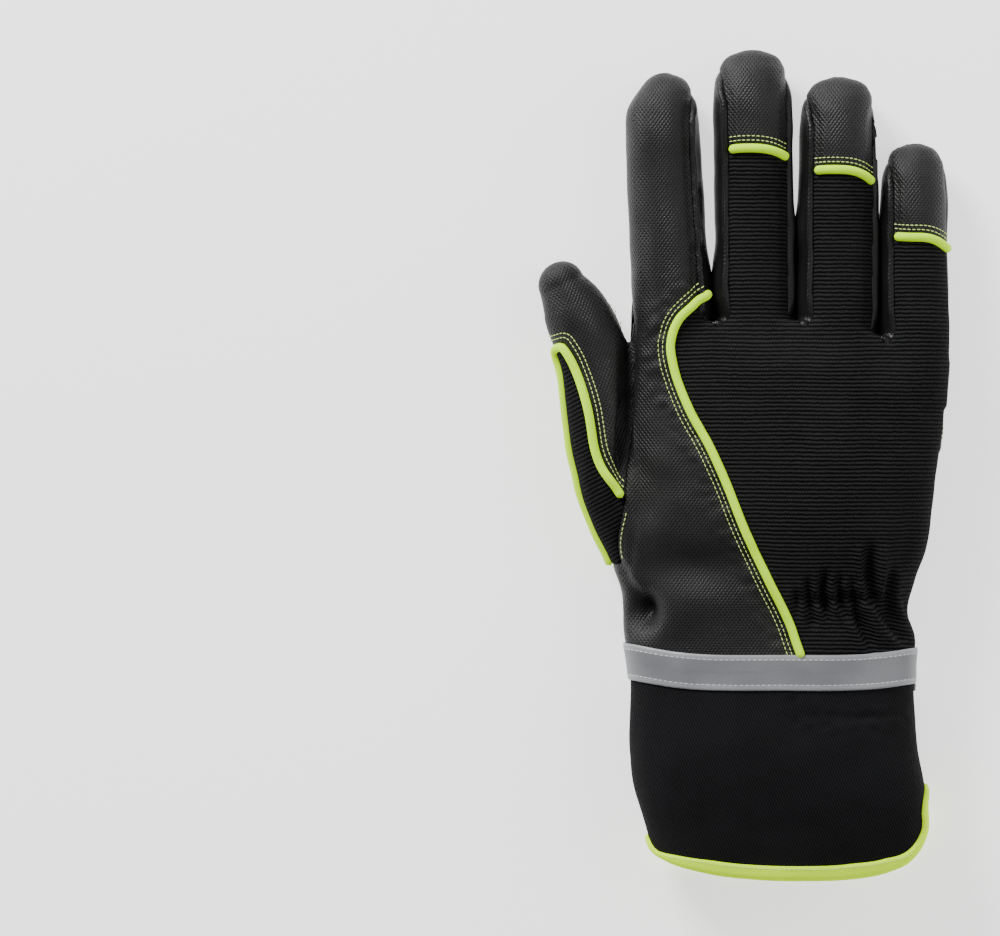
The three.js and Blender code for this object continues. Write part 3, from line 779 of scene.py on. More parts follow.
def normals_of(places: Array, triangles: Array) -> Array:
    """Unit normals at the vertices of a mesh."""
    a, b, c = (places[triangles[:, corner]] for corner in range(3))
    faces = np.cross(b - a, c - a)
    total = np.zeros_like(places)
    for axis in range(3):
        for corner in range(3):
            total[:, axis] += np.bincount(triangles[:, corner], faces[:, axis], len(places))
    return total / np.maximum(np.linalg.norm(total, axis=1, keepdims=True), TINY)


# The skin that every piece is cut from


@dataclass(frozen=True)
class Cut:
    """How a mesh is cut where a field is zero: new triangles, cut edges and the new rim."""

    triangles: Array
    pairs: Array
    share: Array
    rim: Array


def cut_at(triangles: Array, values: Array) -> Cut:
    """Cuts a mesh where a field is zero and keeps the part where it is positive.

    Args:
        triangles: the mesh.
        values: the field at its vertices.

    Returns:
        The cut. Its triangles and rim count the cut points after the mesh's own vertices.
    """
    total = len(values)
    keep = values > 0
    within = keep[triangles]
    count = within.sum(1)
    one = triangles[count == 1]
    turn = within[count == 1].argmax(1)
    one = np.stack([one[np.arange(len(one)), (turn + i) % 3] for i in range(3)], axis=1)
    two = triangles[count == 2]
    turn = (~within[count == 2]).argmax(1)
    two = np.stack([two[np.arange(len(two)), (turn + i) % 3] for i in range(3)], axis=1)
    edges = np.vstack([one[:, (0, 1)], one[:, (0, 2)], two[:, (0, 1)], two[:, (0, 2)]])
    keys = np.sort(edges, axis=1)
    pairs, number = np.unique(keys, axis=0, return_inverse=True)
    number = number.ravel() + total
    first, second = values[pairs[:, 0]], values[pairs[:, 1]]
    n, m = len(one), len(two)
    a, b, c, d = number[:n], number[n : 2 * n], number[2 * n : 2 * n + m], number[2 * n + m :]
    made = np.vstack([
        triangles[count == 3],
        np.column_stack([one[:, 0], a, b]),
        np.column_stack([c, two[:, 1], two[:, 2]]),
        np.column_stack([c, two[:, 2], d]),
    ])
    rim = np.vstack([np.column_stack([a, b]), np.column_stack([d, c])])
    return Cut(made, pairs, first / (first - second), rim)


def chain(rim: Array) -> list[Array]:
    """Joins directed edges into lines of vertices."""
    after = dict(rim.tolist())
    starts = list(set(after) - set(after.values())) + list(after)
    lines = []
    for start in starts:
        line = [start]
        while line[-1] in after:
            line.append(after.pop(line[-1]))
        if len(line) >= LEAST_POINTS:
            lines.append(np.array(line))
    return lines


def largest(triangles: Array, total: int) -> Array:
    """Keeps the largest joined part of a mesh."""
    label = np.arange(total)
    while True:
        least = label[triangles].min(1)
        new = label.copy()
        np.minimum.at(new, triangles.ravel(), np.repeat(least, 3))
        new = new[new]
        if (new == label).all():
            break
        label = new
    names, counts = np.unique(label[triangles[:, 0]], return_counts=True)
    return triangles[label[triangles[:, 0]] == names[counts.argmax()]]


@dataclass
class Swatch:
    """A part of the skin cut out along its seams, with the distance of each vertex from them."""

    places: Array
    normals: Array
    triangles: Array
    edge: Array
    rise: Array

    def refined(self) -> "Swatch":
        """The same swatch with each triangle split into four."""
        sides = np.vstack([self.triangles[:, pair] for pair in ((0, 1), (1, 2), (2, 0))])
        pairs, number = np.unique(np.sort(sides, axis=1), axis=0, return_inverse=True)
        ab, bc, ca = (number.ravel() + len(self.places)).reshape(3, -1)
        a, b, c = self.triangles.T
        triangles = np.vstack([
            np.column_stack(rows) for rows in ((a, ab, ca), (ab, b, bc), (ca, bc, c), (ab, bc, ca))
        ])
        places, normals = (
            np.vstack([values, values[pairs].mean(1)]) for values in (self.places, self.normals)
        )
        edge, rise = (
            np.append(values, values[pairs].mean(1)) for values in (self.edge, self.rise)
        )
        return Swatch(places, unit(normals), triangles, edge, rise)

    def walled(self, outer: Array, inner: Array) -> tuple[Array, Array]:
        """Gives the swatch a thickness.

        Args:
            outer: how far the outer face stands out at each vertex.
            inner: the same for the inner face.

        Returns:
            Vertices and triangles: the outer face, the inner face, and the rim between them.
        """
        total = len(self.places)
        places = np.vstack([
            self.places + self.normals * outer[:, None],
            self.places + self.normals * inner[:, None],
        ])
        sides = np.vstack([self.triangles[:, pair] for pair in ((0, 1), (1, 2), (2, 0))])
        key = sides[:, 0] * total + sides[:, 1]
        back = sides[:, 1] * total + sides[:, 0]
        a, b = sides[~np.isin(key, back)].T
        rim = np.vstack([
            np.column_stack([b, a, a + total]),
            np.column_stack([b, a + total, b + total]),
        ])
        return places, np.vstack([self.triangles, self.triangles[:, ::-1] + total, rim])


@dataclass(frozen=True)
class Fold:
    """A crease: its path in shares of the hand, on the back or the palm, its width and depth."""

    on_back: bool
    path: tuple
    width: float
    depth: float


FOLDS = (
    Fold(True, ((-0.95, 0.97), (-0.98, 0.8), (-1.0, 0.6), (-1.03, 0.46)), 2.2, 2.4),
    Fold(True, ((-0.965, 0.8), (-0.99, 0.7), (-1.0, 0.59)), 1.7, 3.6),
    Fold(True, ((-1.04, 0.31), (-0.97, 0.25), (-0.9, 0.2)), 1.4, 1.3),
    Fold(True, ((0.05, 0.203), (0.25, 0.198), (0.44, 0.206), (0.63, 0.203), (0.775, 0.198)), 1.7, 1.3),
    Fold(True, ((0.258, 0.285), (0.258, 0.198), (0.285, 0.15)), 1.5, 3.4),
    Fold(True, ((0.545, 0.36), (0.554, 0.255), (0.567, 0.195)), 2.0, 4.2),
    Fold(True, ((0.16, 0.26), (0.17, 0.198), (0.2, 0.12)), 1.4, 2.8),
    Fold(True, ((0.345, 0.27), (0.365, 0.203), (0.42, 0.135)), 1.4, 3.0),
    Fold(True, ((0.43, 0.26), (0.447, 0.192), (0.51, 0.12), (0.58, 0.055)), 1.7, 3.6),
    Fold(True, ((0.573, 0.212), (0.66, 0.154), (0.79, 0.075)), 1.8, 3.6),
    Fold(True, ((0.68, 0.29), (0.668, 0.198), (0.75, 0.13)), 1.5, 2.8),
    Fold(True, ((0.085, 0.235), (0.095, 0.15)), 1.3, 1.6),
    Fold(True, ((-0.6, 0.32), (-0.45, 0.24), (-0.3, 0.2)), 4.0, 0.35),
    Fold(True, ((-0.72, 0.75), (-0.64, 0.62), (-0.6, 0.5)), 4.0, 0.3),
    Fold(True, ((-0.05, 0.8), (0.0, 0.7), (0.1, 0.62)), 4.0, 0.35),
    Fold(True, ((0.45, 0.78), (0.5, 0.66), (0.58, 0.56)), 4.0, 0.35),
    Fold(True, ((0.82, 0.5), (0.78, 0.38), (0.74, 0.28)), 3.0, 0.6),
    Fold(False, ((-0.82, 0.72), (-0.72, 0.55), (-0.62, 0.4), (-0.6, 0.27)), 2.4, 1.1),
    Fold(False, ((-0.93, 0.62), (-0.85, 0.45), (-0.8, 0.3)), 2.6, 0.9),
    Fold(False, ((-0.6, 0.6), (-0.52, 0.46), (-0.52, 0.34)), 2.0, 0.7),
    Fold(False, ((-0.86, 0.98), (-0.7, 0.93), (-0.52, 0.9)), 2.2, 0.5),
    Fold(False, ((-0.35, 0.9), (-0.2, 0.95), (-0.06, 0.9)), 2.2, 0.45),
    Fold(False, ((0.1, 0.9), (0.3, 0.86), (0.5, 0.78)), 2.2, 0.45),
    Fold(False, ((-0.9, 0.12), (-0.5, 0.06), (-0.1, 0.05)), 3.0, 0.5),
    Fold(False, ((0.85, 0.7), (0.7, 0.72), (0.5, 0.76)), 2.0, 0.4),
)


@dataclass
class Skin:
    """The outside of the glove with its dents, folds and gathers, and the zones of its seams."""

    form: GloveForm = field(default_factory=GloveForm)
    gather_from: float = 0.06
    gather_to: float = 0.82
    gather_along: float = 0.175
    gather_long: float = 0.1
    gather_pitch: float = 3.6
    gather_depth: float = 0.82
    gather_starts: float = 0.08
    gather_ends: tuple[float, float] = (0.04, 0.1)
    gather_fan: float = 0.5
    gather_bend: float = 0.9
    gather_waves: tuple[float, int] = (22, 5)
    gather_round: float = 0.7
    # Folds: how they taper, how they are closed off, the lip beside them, their share on the palm
    fold_fade: float = 0.02
    fold_taper: float = 0.6
    fold_end: float = 0.001
    fold_lip: float = 0.3
    fold_palm: float = 0.8
    # Softness: length, seed and height of its waves, and its share below and on the cuff
    soft_waves: tuple = ((34, 11, 0.28), (13, 12, 0.1))
    soft_from: float = -0.3
    soft_below: float = 0.3
    soft_cuff: float = 0.8
    # The rows of stitches beside the seams press in, and the leather puckers beside them
    row_place: float = 3.5
    row_width: float = 1.5
    row_depths: tuple[float, float] = (0.4, 0.3)
    pucker_waves: tuple[float, int] = (5.5, 21)
    pucker_height: float = 0.25
    pucker_place: float = 5.0
    pucker_width: float = 4.0
    saddle_place: float = 2.0
    tape_fade: tuple[float, float] = (-1, 4)
    # Side strips: place, width and height of the ridge and the groove along their edges
    welt: tuple = ((1.1, 0.9, 1.0), (-1.2, 1.1, -0.4))
    welt_facing: tuple[float, float] = (-0.1, 0.4)
    welt_tip: float = 0.8
    welt_from: tuple[float, float] = (1, 9)
    # How far they touch from the web on, how much they swell for it, and the dent at the web
    touching: tuple[float, ...] = (21.0, 41.0, 44.0)
    touch_fade: tuple[float, float] = (10, 5)
    touch_press: float = 0.3
    touch_most: float = 1.5
    touch_wall: tuple[float, float] = (0.2, 1.6)
    touch_web: tuple[float, float] = (-1.8, -0.2)
    touch_place: float = 1.0
    touch_width: float = 4.0
    web_depth: float = 0.7
    web_width: float = 5.0
    web_edge: tuple[float, float] = (-1.5, 0.5)
    clearance: float = 0.05
    line_passes: int = 3
    places: Array = field(init=False)
    triangles: Array = field(init=False)
    normals: Array = field(init=False)

    def __post_init__(self) -> None:
        """Makes the mesh, measures the zones on it, and shapes it."""
        self.places, self.triangles = self.form.mesh()
        self.plan = self.places[:, :2].copy()
        self.height = self.places[:, 2].copy()
        self.normals = normals_of(self.places, self.triangles)
        self.facing = self.normals[:, 2].copy()
        self.upward = np.clip(self.facing, 0, 1)
        self.downward = np.clip(-self.facing, 0, 1)
        self.shape()

    def zone(self, outline: Array) -> Array:
        """How far each vertex is inside an outline in plan."""
        return inside(self.plan, outline)

    @cached_property
    def back(self) -> Array:
        """The knit of the back with the caps: above the side seam, beyond the main seam."""
        seam = PLAN.main_seam
        low = PLAN.palm_y(0) - PLAN.tape_width
        outline = np.vstack([
            (PLAN.slot_x, FAR), (PLAN.slot_x, seam[0, 1] + PLAN.gap), seam,
            (seam[-1, 0], low), (FAR, low), (FAR, FAR),
        ])
        return self.zone(outline)

    @cached_property
    def tips(self) -> Array:
        """How far each vertex is on a fingertip, from 0 to 1."""
        tips = np.zeros(len(self.plan))
        for index, finger in enumerate(FINGERS):
            base, direction, lateral = PLAN.finger_axes(index)
            along = (self.plan - base) @ direction
            across = np.abs((self.plan - base) @ lateral)
            near = across < finger.width / 2 + PLAN.finger_gap
            reach = step_up(along, finger.reach - PLAN.tip_length, finger.reach - PLAN.tip_drop)
            tips = np.maximum(tips, np.where(near, reach, 0))
        return tips

    @cached_property
    def above_seam(self) -> Array:
        """Height above the side seams, which drop round the fingertips."""
        return self.height - PLAN.seam_height + PLAN.tip_drop * self.tips

    @cached_property
    def cuff(self) -> Array:
        """The woven cuff, below the middle of the tape."""
        line = smooth_line(PLAN.on_hand(TAPE_LINE))
        return self.zone(np.vstack([line, (FAR, line[-1, 1]), (FAR, -FAR), (-FAR, -FAR),
                                    (-FAR, line[0, 1])]))

    @cached_property
    def hem(self) -> Array:
        """How far each vertex is on the hand's side of the hem."""
        return self.zone(PLAN.hem_outline)

    @cached_property
    def cap_seams(self) -> dict[str, Array]:
        """The seams of the fingertip caps in plan, from the thumb's side across."""
        found = {}
        for index, finger in enumerate(FINGERS):
            if finger.cap:
                side = PLAN.cap_side(finger)
                places = zip((-side, *CAP_MIDDLE, side), finger.cap)
                found[finger.name] = smooth_line([PLAN.on_finger(index, *place) for place in places])
        return found

    @cached_property
    def caps(self) -> dict[str, Array]:
        """The fingertip caps beyond their seams."""
        found = {}
        for index, finger in enumerate(FINGERS):
            if finger.cap:
                side = PLAN.cap_side(finger)
                ends = [PLAN.on_finger(index, across, CAP_END) for across in (side, -side)]
                found[finger.name] = self.zone(np.vstack([self.cap_seams[finger.name], ends]))
        return found

    def beside_seam(self, seam: Array, offset: float = 0.0) -> tuple[Array, Array]:
        """Finds a row beside an open seam.

        Args:
            seam: the seam in plan.
            offset: distance of the row from it, positive on its left.

        Returns:
            A field that is zero on the row, and one that is positive between the seam's ends.
        """
        away, place = beside(self.plan, seam)
        return away - offset, np.minimum(place, 1 - place) * len(seam) - 0.05

    @cached_property
    def strips(self) -> list[Array]:
        """The side strips between neighbouring fingers."""
        found = []
        radial = PLAN.radial_seam
        for index in range(1, len(FINGERS)):
            ulnar = PLAN.index_seam if index == 1 else PLAN.ulnar_seam
            start = PLAN.on_finger(index - 1, ulnar, 0)
            end = PLAN.on_finger(index, -radial, 0)
            middle = (start[0] + end[0]) / 2 + PLAN.finger_gap
            web = PLAN.web_y(middle)
            left = zip((ulnar, (1 + ulnar) / 2, STRIP_BEYOND), STRIP_LEFT)
            right = zip((-radial, -(1 + radial) / 2, -STRIP_BEYOND), STRIP_RIGHT)
            outline = np.array([
                (middle - PLAN.strip_end_width / 2, web - PLAN.strip_end),
                (start[0], web + PLAN.strip_point),
                *(PLAN.on_finger(index - 1, *place) for place in left),
                *[PLAN.on_finger(index, *place) for place in right][::-1],
                (end[0], web + PLAN.strip_point),
                (middle + PLAN.strip_end_width / 2, web - PLAN.strip_end),
            ])
            found.append(np.minimum(self.zone(outline), self.height - PLAN.fourchette_low))
        return found

    @cached_property
    def any_strip(self) -> Array:
        """All side strips together."""
        return np.max(self.strips, axis=0)

    @cached_property
    def thumb(self) -> Array:
        """The thumb, from the edge of the hand outwards."""
        edge = [
            (left - PLAN.thumb_clear, along) for along, left, *_ in HAND_SECTIONS
            if along > PLAN.thumb_edge
        ]
        edge = smooth_line(PLAN.on_hand(edge))
        return self.zone(np.vstack([PLAN.on_hand(THUMB_BELOW), edge, PLAN.on_hand(THUMB_BEYOND)]))

    @cached_property
    def saddle(self) -> Array:
        """The ball of the thumb on the palm, inside the saddle seam."""
        line = smooth_line(PLAN.on_hand(SADDLE_SEAM))
        return self.zone(np.vstack([line, PLAN.on_hand((BALL_OUTSIDE,))]))

    @cached_property
    def below_thumb_seam(self) -> Array:
        """Depth below the thumb's side seam."""
        return PLAN.thumb_seam - self.height

    @cached_property
    def insert(self) -> Array:
        """The cloth insert of the thumb, outside its inner piping."""
        line = smooth_line(PLAN.on_thumb(THUMB_PIPING))
        corner, outer = PLAN.on_hand(INSERT_CORNER), PLAN.on_thumb(INSERT_OUTSIDE)
        return self.zone(np.vstack([line, corner, outer]))

    @cached_property
    def tape(self) -> tuple[Array, Array]:
        """Half the tape's width less the distance from its middle, on the back and on the palm."""
        line = smooth_line(PLAN.on_hand(TAPE_LINE))
        back = PLAN.tape_width / 2 - np.abs(beside(self.plan, line)[0])
        share = np.clip((line[:, :1] / PLAN.half_hand + 1) / 2, 0, 1)
        line = line - share * (0, PLAN.tape_step)
        return back, PLAN.tape_width / 2 - np.abs(beside(self.plan, line)[0])

    @cached_property
    def patches(self) -> dict[str, Array]:
        """The palm's patches, each with the hem beyond its stitches."""
        outlines = {
            "upper": PLAN.on_hand(UPPER_PATCH),
            "heel": PLAN.on_hand(HEEL_PATCH),
            "thumb": PLAN.on_thumb(THUMB_PATCH),
        }
        return {
            name: self.zone(grow(smooth_line(outline, closed=True), PLAN.patch_hem))
            for name, outline in outlines.items()
        }

    @cached_property
    def divider(self) -> Array:
        """Distance from the line of stitches that divides the heel patch."""
        return beside(self.plan, smooth_line(PLAN.on_hand(HEEL_DIVIDER)))[0]

    def shape(self) -> None:
        """Presses dents, folds, gathers and stitch lines into the mesh."""
        self.rise = np.zeros(len(self.places))
        across = self.plan[:, 0] / PLAN.half_hand
        along = self.plan[:, 1] / PLAN.palm_length + PLAN.origin_along
        self.press_forms(across, along)
        self.press_gathers(across, along)
        self.press_folds()
        self.press_softly()
        pucker = Ripples(*self.pucker_waves).at(self.places)
        self.press_rows(pucker)
        for index, strip in enumerate(self.strips):
            self.press_strip(index, strip)
        away = np.abs(self.saddle) - self.saddle_place
        self.rise += self.pucker_height * pucker * bell(away / self.pucker_width) * self.downward
        self.places = self.places + self.normals * self.rise[:, None]
        self.places[:, 2] = np.maximum(self.places[:, 2], self.clearance)
        self.normals = normals_of(self.places, self.triangles)

    def press_forms(self, across: Array, along: Array) -> None:
        """Presses the dents and bumps of the back."""
        for middle, place, wide, long, height in FORMS:
            form = bell((across - middle) / wide) * bell((along - place) / long)
            self.rise += height * PLAN.hand_height * form * self.upward

    def press_gathers(self, across: Array, along: Array) -> None:
        """Gathers the knit where the elastic pulls it in."""
        fade, beyond = self.gather_ends
        window = step_up(across, self.gather_from, self.gather_from + self.gather_starts)
        window *= 1 - step_up(across, self.gather_to - fade, self.gather_to + beyond)
        away = ((along - self.gather_along) / self.gather_long) ** 2
        bend = Ripples(*self.gather_waves).at(self.places) * self.gather_bend
        phase = (self.plan[:, 0] / (1 + self.gather_fan * away) + bend) / self.gather_pitch
        pleat = np.abs(np.sin(math.pi * phase)) ** self.gather_round - 1
        self.rise += self.gather_depth * pleat * window * np.clip(1 - away, 0, 1) * self.upward

    def press_folds(self) -> None:
        """Presses the creases, each with a low lip beside it."""
        for fold in FOLDS:
            away, place = beside(self.plan, smooth_line(PLAN.on_hand(fold.path)))
            side = self.upward if fold.on_back else self.downward
            within = np.clip(place, self.fold_fade, 1 - self.fold_fade)
            taper = np.sin(math.pi * within) ** self.fold_taper
            beyond = (place < self.fold_end) | (place > 1 - self.fold_end)
            ends = np.where(beyond, bell(away / fold.width), 1)
            lip = self.fold_lip * bell((np.abs(away) - 2 * fold.width) / fold.width)
            crease = -bell(away / fold.width) + lip
            share = 1 if fold.on_back else self.fold_palm
            self.rise += fold.depth * crease * taper * ends * side * share

    def press_softly(self) -> None:
        """Makes the whole glove slightly uneven."""
        soft = sum(
            Ripples(length, seed).at(self.places) * height for length, seed, height in self.soft_waves
        )
        below = np.where(self.facing > self.soft_from, 1, self.soft_below)
        self.rise += soft * below * np.where(self.cuff > 0, self.soft_cuff, 1)

    def press_rows(self, pucker: Array) -> None:
        """Presses the rows of stitches beside the knit, and puckers the leather there."""
        clear = step_up(-self.tape[0], *self.tape_fade)
        for zone, depth in zip((self.back, self.insert), self.row_depths):
            away = zone + self.row_place
            self.rise -= depth * bell(away / self.row_width) * self.upward * clear
        leather = np.minimum(self.back, self.above_seam) <= 0
        away = self.back + self.pucker_place
        beside_row = bell(away / self.pucker_width)
        self.rise += self.pucker_height * pucker * beside_row * self.upward * leather * clear

    def press_strip(self, index: int, strip: Array) -> None:
        """Raises the edges of a side strip, dents its web and swells it where it touches."""
        y = self.plan[:, 1]
        web = PLAN.web_y(PLAN.on_finger(index, 1, 0)[0])
        on_top = 1 - step_up(self.tips, 0, self.welt_tip)
        on_top *= step_up(self.facing, *self.welt_facing)
        welt = sum(height * bell((strip - place) / wide) for place, wide, height in self.welt)
        first, full = self.welt_from
        self.rise += welt * on_top * step_up(y, web + first, web + full)
        root = bell((y - web) / self.web_width) * step_up(strip, *self.web_edge)
        self.rise -= self.web_depth * root * self.upward
        reach = web + self.touching[index]
        before, after = self.touch_fade
        near = 1 - step_up(y, reach - before, reach + after)
        swell = PLAN.slot_width(index, y) / 2 + self.touch_press
        swell = np.clip(swell, 0, self.touch_most)
        closed = step_up(strip, *self.touch_web)
        closed *= bell((y - web - self.touch_place) / self.touch_width)
        wall = np.maximum(step_up(strip, *self.touch_wall), closed)
        self.rise += swell * near * wall * (1 - np.abs(self.facing))

    def swatch(self, *limits: Array, margin: float = 0.0, whole: bool = False) -> Swatch:
        """Cuts out the part where every limit is positive.

        Args:
            limits: distances inside each seam.
            margin: how much is left off along them.
            whole: whether parts that aren't joined to the largest stay too.

        Returns:
            The swatch.
        """
        edge = np.min(limits, axis=0) - margin
        cut = cut_at(self.triangles, edge)
        triangles = cut.triangles
        if not whole:
            triangles = largest(triangles, len(edge) + len(cut.pairs))
        used, number = np.unique(triangles, return_inverse=True)
        columns = []
        for values in (self.places, self.normals, edge[:, None], self.rise[:, None]):
            first, second = (values[cut.pairs[:, i]] for i in (0, 1))
            between = first + (second - first) * cut.share[:, None]
            columns.append(np.vstack([values, between])[used])
        places, normals, edge, rise = columns
        return Swatch(places, normals, number.reshape(-1, 3), np.maximum(edge[:, 0], 0), rise[:, 0])

    def lines(self, values: Array, *limits: Array, least: float = 6.0) -> list[tuple[Array, Array]]:
        """Lines on the skin where a field is zero.

        Args:
            values: the field at each vertex.
            limits: fields that are positive where the line is kept.
            least: shorter lines are left out.

        Returns:
            Places and normals along each line.
        """
        cut = cut_at(self.triangles, values)
        total = len(values)
        keep = np.min(limits, axis=0) if limits else np.ones(total)
        stack = np.column_stack([self.places, self.normals, keep])
        first, second = (stack[cut.pairs[:, i]] for i in (0, 1))
        points = first + (second - first) * cut.share[:, None]
        found = []
        for line in chain(cut.rim - total):
            rows = points[line]
            kept = np.flatnonzero(rows[:, 6] > 0)
            for part in np.split(kept, np.flatnonzero(np.diff(kept) > 1) + 1):
                if len(part) < LEAST_POINTS:
                    continue
                run = rows[part]
                for _ in range(self.line_passes):
                    run[1:-1] = (run[:-2] + 2 * run[1:-1] + run[2:]) / 4
                if run_along(run[:, :3])[-1] >= least:
                    found.append((run[:, :3], unit(run[:, 3:6])))
        return found


# Finishes


def linear(code: str) -> tuple[float, float, float, float]:
    """Turns an sRGB hex colour into a linear one."""
    parts = (int(code[i : i + 2], 16) / 255 for i in (1, 3, 5))
    red, green, blue = (p / 12.92 if p <= 0.04045 else ((p + 0.055) / 1.055) ** 2.4 for p in parts)
    return red, green, blue, 1.0


def feed(node: bpy.types.Node, inputs: dict) -> None:
    """Sets a node's sockets to values, or links them to other nodes' outputs."""
    for name, value in inputs.items():
        if isinstance(value, Socket):
            node.id_data.links.new(value, node.inputs[name])
        else:
            node.inputs[name].default_value = value


def add_node(tree: Tree, kind: str, inputs: dict | None = None, **settings) -> bpy.types.Node:
    """Adds a node.

    Args:
        tree: the node tree.
        kind: the node's type.
        inputs: values or other nodes' outputs by socket.
        settings: the node's own properties.

    Returns:
        The node.
    """
    node = tree.nodes.new(kind)
    for name, value in settings.items():
        setattr(node, name, value)
    feed(node, inputs or {})
    return node


def new_material(name: str) -> tuple[bpy.types.Material, bpy.types.Node]:
    """A new material and its main shader node."""
    material = bpy.data.materials.new(name)
    material.use_nodes = True
    return material, material.node_tree.nodes["Principled BSDF"]


# Places of a colour Mix node's sockets
MIX_SHARE, MIX_FROM, MIX_TO, MIX_COLOUR = 0, 6, 7, 2


@dataclass(frozen=True)
class Weave:
    """Steps of shading that finishes are made from, in one node tree."""

    tree: Tree

    def cloth_place(self) -> Socket:
        """Millimetres along the piece's own cloth."""
        return add_node(self.tree, "ShaderNodeUVMap", uv_map="cloth").outputs["UV"]

    def math(self, operation: str, *values) -> Socket:
        """The result of one step of arithmetic."""
        node = add_node(self.tree, "ShaderNodeMath", dict(enumerate(values)), operation=operation)
        return node.outputs[0]

    def along(self, place: Socket, angle: float, pitch: float) -> Socket:
        """Counts threads across a direction.

        Args:
            place: the place on the cloth.
            angle: degrees from the cloth's first axis to the direction counted along.
            pitch: millimetres from thread to thread.

        Returns:
            The count.
        """
        turn = math.radians(angle)
        way = (math.cos(turn) / pitch, math.sin(turn) / pitch, 0)
        node = add_node(self.tree, "ShaderNodeVectorMath", {0: place, 1: way},
                        operation="DOT_PRODUCT")
        return node.outputs["Value"]

    def ridge(self, count: Socket, sharpness: float) -> Socket:
        """Rounded ridges, one for each count: the lower the sharpness, the narrower the grooves."""
        wave = self.math("SINE", self.math("MULTIPLY", count, math.pi))
        return self.math("POWER", self.math("ABSOLUTE", wave), sharpness)

    def noise(self, scale: float, detail: float = 3.0, place: Socket | None = None) -> Socket:
        """Soft irregular spots, scale of them to a unit of the place or to a metre of the glove."""
        if place is None:
            place = add_node(self.tree, "ShaderNodeTexCoord").outputs["Object"]
        inputs = {"Vector": place, "Scale": scale, "Detail": detail}
        return add_node(self.tree, "ShaderNodeTexNoise", inputs).outputs["Fac"]

    def waver(self, count: Socket, place: Socket, scale: float, size: float) -> Socket:
        """Moves a count of threads a little to and fro."""
        return self.math("ADD", count, self.math("MULTIPLY", self.noise(scale, place=place), size))

    def fuzzed(self, relief: Socket, scale: float, detail: float, gain: float,
               least: float) -> Socket:
        """Lowers a relief in fine spots, as fibres do."""
        fuzz = self.math("MULTIPLY_ADD", self.noise(scale, detail), gain, least)
        return self.math("MULTIPLY", relief, fuzz)

    def spread(self, value: Socket, low: float, high: float,
               within: tuple[float, float] = (0.3, 0.7)) -> Socket:
        """Spreads the middle of a value over a range."""
        return add_node(self.tree, "ShaderNodeMapRange", {
            "Value": value, "From Min": within[0], "From Max": within[1],
            "To Min": low, "To Max": high,
        }).outputs["Result"]


@dataclass(frozen=True)
class Finish:
    """A finish with a dark and a light colour: the low parts of its relief take the dark one, a
    painted shade in its grooves, and soft spots vary the tone.
    """

    name: str
    dark: str
    light: str
    roughness: float
    specular: float = 0.5
    metallic: float = 0.0
    sheen: float = 0.0
    sheen_roughness: float = 0.4
    relief: float = 0.1
    variation: float = 0.25
    # Strength of a painted glow: the finish gives off light of its light colour, though it is no lamp.
    painted_glow: float = 0.0
    side_from: float = 1.2
    spots: tuple[float, float] = (55, 4)
    smoother: float = 0.05
    rougher: float = 0.06
    grain: tuple = (2500, 4)

    def height(self, weave: Weave) -> Socket:
        """Relief of the finish, from 0 to 1."""
        return weave.noise(*self.grain)

    def build(self) -> bpy.types.Material:
        """Makes the material."""
        material, shader = new_material(self.name)
        weave = Weave(material.node_tree)
        height = self.height(weave)
        spots = weave.noise(*self.spots)
        # Colour follows the relief: its low parts are painted darker as shade in the grooves, and the
        # spots add random tone.
        share = weave.math("ADD", height, weave.spread(spots, -self.variation, self.variation))
        colour = add_node(weave.tree, "ShaderNodeMix", {
            MIX_SHARE: share, MIX_FROM: linear(self.dark), MIX_TO: linear(self.light),
        }, data_type="RGBA")
        bump = add_node(weave.tree, "ShaderNodeBump", {
            "Height": height, "Strength": 1.0, "Distance": self.relief * MM,
        })
        rough = weave.spread(spots, self.roughness - self.smoother, self.roughness + self.rougher)
        # The emission is a painted glow in the finish's light colour.
        feed(shader, {
            "Base Color": colour.outputs[MIX_COLOUR], "Roughness": rough,
            "Normal": bump.outputs["Normal"], "Metallic": self.metallic,
            "Specular IOR Level": self.specular, "Sheen Weight": self.sheen,
            "Sheen Roughness": self.sheen_roughness, "Emission Color": linear(self.light),
            "Emission Strength": self.painted_glow,
        })
        return material


@dataclass(frozen=True)
class CoatedLeather(Finish):
    """Polyurethane coated leather, embossed: a lattice of small diamonds with a soft gloss."""

    across: float = 1.0
    angle: float = 36.0
    sharpness: float = 2.2
    wobble: tuple[float, float] = (0.35, 0.5)
    pores: tuple[float, float] = (4000, 2)
    pore_depth: float = 0.22

    def height(self, weave: Weave) -> Socket:
        """Diamonds between two families of grooves, a little irregular, with fine pores."""
        place = weave.cloth_place()
        cells = []
        for angle in (self.angle, -self.angle):
            count = weave.waver(weave.along(place, angle, self.across), place, *self.wobble)
            cells.append(weave.ridge(count, self.sharpness))
        diamonds = weave.math("MAXIMUM", *cells)
        return weave.math("MULTIPLY_ADD", weave.noise(*self.pores), self.pore_depth, diamonds)


